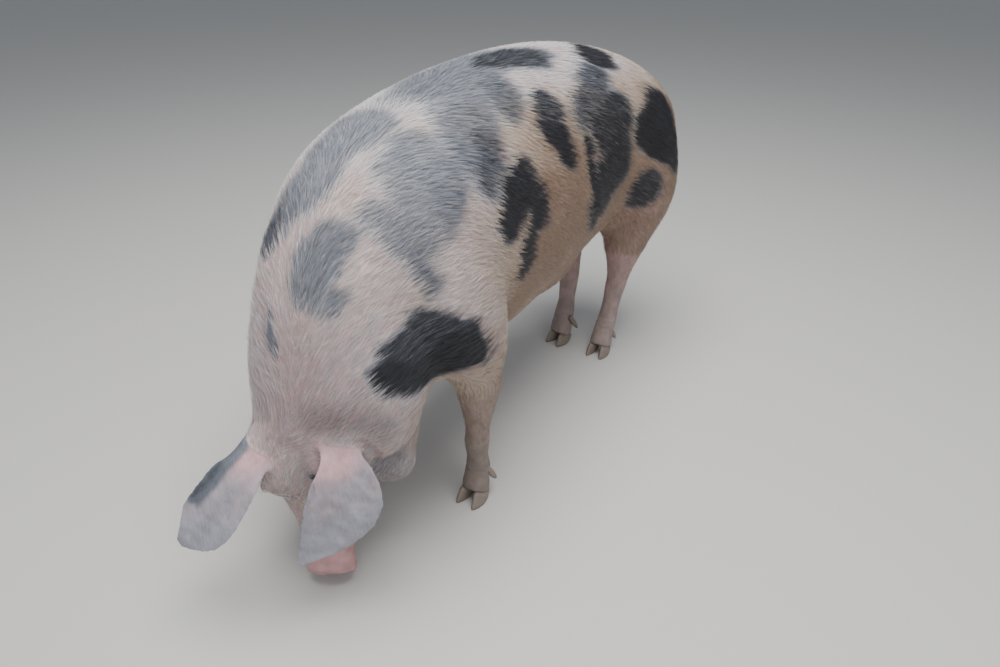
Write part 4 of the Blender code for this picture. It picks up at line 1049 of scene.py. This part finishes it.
PIECE_NAMES = {20: "coat_head_right", 21: "coat_head_left", 22: "coat_legs", 24: "coat_ear_left",
               25: "coat_ear_right", 26: "coat_tail"}
pieces = piece_of(root_here, root_owner)
coat_total = 0
for number in np.unique(pieces):
    mine = np.nonzero(pieces == number)[0]
    name = PIECE_NAMES.get(int(number), f"coat_body_{int(number) // 2}_{SIDES[1 - int(number) % 2]}")
    where = np.clip(corner[mine].reshape(-1, 3), ROOM_LOW, ROOM_HIGH)
    blades_here = len(mine) * BLADES
    first = np.arange(blades_here)[:, None] * POINTS_A_BLADE
    faces = (first[:, :, None] + np.array([[0, 1, 3], [0, 3, 2], [2, 3, 4]])[None]).reshape(-1, 3)
    mesh = bpy.data.meshes.new(name)
    mesh.vertices.add(len(where))
    mesh.vertices.foreach_set("co", where.astype(np.float32).ravel())
    mesh.loops.add(len(faces) * 3)
    mesh.loops.foreach_set("vertex_index", faces.astype(np.int32).ravel())
    mesh.polygons.add(len(faces))
    mesh.polygons.foreach_set("loop_start", np.arange(0, len(faces) * 3, 3, dtype=np.int32))
    mesh.update(calc_edges=True)
    obj = bpy.data.objects.new(name, mesh)
    bpy.context.scene.collection.objects.link(obj)
    store(obj, "hair_tone", np.repeat(tuft_colour[mine], BLADES * POINTS_A_BLADE, axis=0), "FLOAT_COLOR")
    store(obj, "toward_tip", np.tile([0, 0, 0.5, 0.5, 1.0], blades_here), "FLOAT")
    u, v = unwrap_of(roots[mine], {key: value[mine] for key, value in root_here.items()}, int(number))
    flat_u = (u[:, None, None] + patch_u * PATCH + 0 * patch_v).reshape(-1)
    flat_v = (v[:, None, None] + patch_v * PATCH + 0 * patch_u).reshape(-1)
    layer = mesh.uv_layers.new(name="OFBake")
    flat = np.stack([flat_u, flat_v], axis=1)[faces.ravel()]
    layer.data.foreach_set("uv", flat.astype(np.float32).ravel())
    mesh.materials.append(bristle)
    mesh.shade_smooth()
    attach(obj, "root")
    coat_total += len(faces)
    print(name, len(faces), "faces")
print("coat, triangles:", coat_total)

# %% [markdown]
# ## Eyes and lashes
# A pig's eye is small and brown with a dark round pupil, deep between thick lids, with
# pale lashes on the upper lid.


# %% Eyeballs
def eye_material():
    material, tree, shader = new_material("eye")
    ring = attribute(tree, "off_gaze").outputs["Fac"]
    ramp = node(tree, "ShaderNodeValToRGB")
    stops = ((0.0, (0.004, 0.004, 0.005, 1)), (0.30, (0.006, 0.005, 0.005, 1)), (0.36, (0.16, 0.08, 0.035, 1)),
             (0.68, (0.10, 0.05, 0.022, 1)), (0.78, (0.03, 0.018, 0.012, 1)), (0.90, (0.52, 0.44, 0.40, 1)))
    while len(ramp.color_ramp.elements) < len(stops):
        ramp.color_ramp.elements.new(0.5)
    for element, (at, colour) in zip(ramp.color_ramp.elements, stops):
        element.position = at
        element.color = colour
    tree.links.new(ring, ramp.inputs["Fac"])
    tree.links.new(ramp.outputs["Color"], shader.inputs["Base Color"])
    shader.inputs["Roughness"].default_value = 0.08
    shader.inputs["Coat Weight"].default_value = 0.6
    return material


eye_finish = eye_material()
for side, sign in (("left", 1), ("right", -1)):
    bm = bmesh.new()
    bmesh.ops.create_icosphere(bm, subdivisions=4, radius=EYE_RADIUS - 0.0002)
    mesh = bpy.data.meshes.new(f"eyeball_{side}")
    bm.to_mesh(mesh)
    bm.free()
    at = corners_of(mesh)
    gaze = unit(TO_LEFT * sign + OUT_OF_FACE * 0.30 + DOWN_FACE * 0.10)
    off_gaze = np.arccos(np.clip(unit(at) @ gaze, -1, 1)) / 0.85
    mesh.vertices.foreach_set("co", (at + EYES[side]).astype(np.float32).ravel())
    ball = bpy.data.objects.new(f"eyeball_{side}", mesh)
    bpy.context.scene.collection.objects.link(ball)
    store(ball, "off_gaze", np.clip(off_gaze, 0, 1), "FLOAT")
    mesh.materials.append(eye_finish)
    mesh.shade_smooth()
    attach(ball, "root")
    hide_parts(f"eye_{side}")

# %% Lashes
LASHES, LASH_LENGTH, LASH_HALF_WIDTH = 20, 0.010, 0.00015
lash_corners, lash_faces = [], []
for side, sign in (("left", 1), ("right", -1)):
    outward = unit(TO_LEFT * sign + OUT_OF_FACE * 0.35)
    across = unit(DOWN_FACE - outward * (DOWN_FACE @ outward))
    above = unit(np.cross(outward, across))
    above *= np.sign(above @ OUT_OF_FACE)
    for k in range(LASHES):
        part = (k + rng.uniform(0.1, 0.9)) / LASHES * 2 - 1
        x = part * SLIT_HALF * 0.9
        y = SLIT_HIGH * (1 - part ** 2 * 0.8) + 0.0006
        deep = math.sqrt((EYE_RADIUS + LID_THICK) ** 2 - x * x - y * y)
        root = EYES[side] + across * x + above * y + outward * (deep - 0.001)
        way = unit(outward * 0.9 + above * 0.35 + across * part * 0.5 + rng.normal(0, 0.06, 3))
        bend = root + way * LASH_LENGTH * 0.55
        tip = bend + unit(way - above * 0.55) * LASH_LENGTH * 0.45
        start = len(lash_corners)
        for at, half_wide in ((root, LASH_HALF_WIDTH), (bend, LASH_HALF_WIDTH * 0.8)):
            lash_corners += [at - across * half_wide, at + across * half_wide]
        lash_corners.append(tip)
        lash_faces += [(start, start + 1, start + 3), (start, start + 3, start + 2), (start + 2, start + 3, start + 4)]
lashes = make_object("lashes", lash_corners, lash_faces)
lash_finish, _, lash_shader = new_material("lash")
lash_shader.inputs["Base Color"].default_value = (0.78, 0.72, 0.64, 1)
lash_shader.inputs["Roughness"].default_value = 0.45
lashes.data.materials.append(lash_finish)
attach(lashes, "root")
print("lashes:", LASHES * 2)

# %% [markdown]
# ## Claws
# Each foot has two claws that bear the weight and two small ones behind. The horn grows
# in rings from the coronet and is worn and muddy at the toe.

# %% Claw horn
horn, tree, shader = new_material("claw_horn")
place = node(tree, "ShaderNodeTexCoord").outputs["Object"]
squash = node(tree, "ShaderNodeVectorMath", operation="MULTIPLY")
squash.inputs[1].default_value = (60.0, 60.0, 420.0)
tree.links.new(place, squash.inputs[0])
rings = node(tree, "ShaderNodeTexNoise", Scale=1.0, Detail=3.0)
tree.links.new(squash.outputs[0], rings.inputs["Vector"])
grime = node(tree, "ShaderNodeTexNoise", Scale=90.0, Detail=4.0)
tree.links.new(place, grime.inputs["Vector"])
clean = mixed(tree, rings.outputs["Fac"], (0.13, 0.10, 0.085, 1), (0.34, 0.28, 0.23, 1))
grime_ramp = node(tree, "ShaderNodeMapRange", **{"From Min": 0.48, "From Max": 0.66, "To Max": 0.8})
tree.links.new(grime.outputs["Fac"], grime_ramp.inputs["Value"])
tree.links.new(mixed(tree, grime_ramp.outputs["Result"], clean, (0.24, 0.20, 0.165, 1)), shader.inputs["Base Color"])
ring_bump = node(tree, "ShaderNodeBump", Strength=0.5, Distance=0.0012)
tree.links.new(rings.outputs["Fac"], ring_bump.inputs["Height"])
tree.links.new(ring_bump.outputs["Normal"], shader.inputs["Normal"])
shader.inputs["Roughness"].default_value = 0.55

for name in sorted(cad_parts):
    if "claw" not in name:
        continue
    bm = bmesh.new()
    bm.from_mesh(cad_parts[name].data)
    bmesh.ops.remove_doubles(bm, verts=bm.verts, dist=0.00002)
    bmesh.ops.subdivide_edges(bm, edges=bm.edges, cuts=2, use_grid_fill=True)
    bmesh.ops.triangulate(bm, faces=bm.faces)
    mesh = bpy.data.meshes.new(f"horn_{name}")
    bm.to_mesh(mesh)
    bm.free()
    at = corners_of(mesh)
    own_edges = edges_of(mesh)
    own_degree = np.maximum(np.bincount(own_edges.ravel(), minlength=len(at)), 1)
    flat_sole = at[:, 2] < 0.0004
    for _ in range(5):
        moved = at + (averaged(at, own_edges, own_degree) - at) * 0.5
        moved[flat_sole, 2] = at[flat_sole, 2]
        at = moved
    mesh.vertices.foreach_set("co", at.astype(np.float32).ravel())
    claw = bpy.data.objects.new(f"horn_{name}", mesh)
    bpy.context.scene.collection.objects.link(claw)
    mesh.materials.append(horn)
    mesh.shade_smooth()
    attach(claw, "root")
    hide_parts(name)
print("claws done")

# %% [markdown]
# ## Floor, light and camera
# A plain pale floor, a broad soft light overhead and a dim even surround, as in a museum
# hall. The camera looks down at her from her front left, a little above head height.

# %% Stage
bpy.ops.mesh.primitive_plane_add(size=40, location=(0, 0, 0))
floor = bpy.context.object
floor.name = "floor"
floor_finish, _, floor_shader = new_material("floor_pale")
floor_shader.inputs["Base Color"].default_value = (0.62, 0.61, 0.59, 1)
floor_shader.inputs["Roughness"].default_value = 0.85
floor.data.materials.append(floor_finish)

# %% Light
def area_light(name, place, aim, size, power, colour=(1, 1, 1)):
    data = bpy.data.lights.new(name, "AREA")
    data.shape = "DISK"
    data.size = size
    data.energy = power
    data.color = colour
    lamp = bpy.data.objects.new(name, data)
    lamp.location = place
    lamp.rotation_euler = (Vector(aim) - Vector(place)).to_track_quat("-Z", "Y").to_euler()
    bpy.context.scene.collection.objects.link(lamp)
    return lamp


area_light("overhead", (0.4, 0.3, 3.3), (-0.05, 0.0, 0.5), 2.6, 150, (1.0, 0.985, 0.97))
area_light("side_fill", (1.6, 2.6, 1.9), (0.1, 0.0, 0.45), 2.0, 14, (0.96, 0.98, 1.0))
area_light("front_fill", (2.6, 1.3, 1.7), (0.55, 0.0, 0.25), 1.6, 10, (1.0, 1.0, 1.0))
world = bpy.data.worlds.new("surround")
world.use_nodes = True
world.node_tree.nodes["Background"].inputs["Color"].default_value = (0.86, 0.92, 1.0, 1)
world.node_tree.nodes["Background"].inputs["Strength"].default_value = 0.31
bpy.context.scene.world = world

# %% Camera
lens = bpy.data.cameras.new("view")
lens.sensor_width = 36
lens.lens = 26.64
camera = bpy.data.objects.new("view", lens)
camera.location = (1.28605, 0.76706, 1.15)
camera.rotation_euler = (math.radians(59.5), 0, math.radians(118.92))
bpy.context.scene.collection.objects.link(camera)
bpy.context.scene.camera = camera
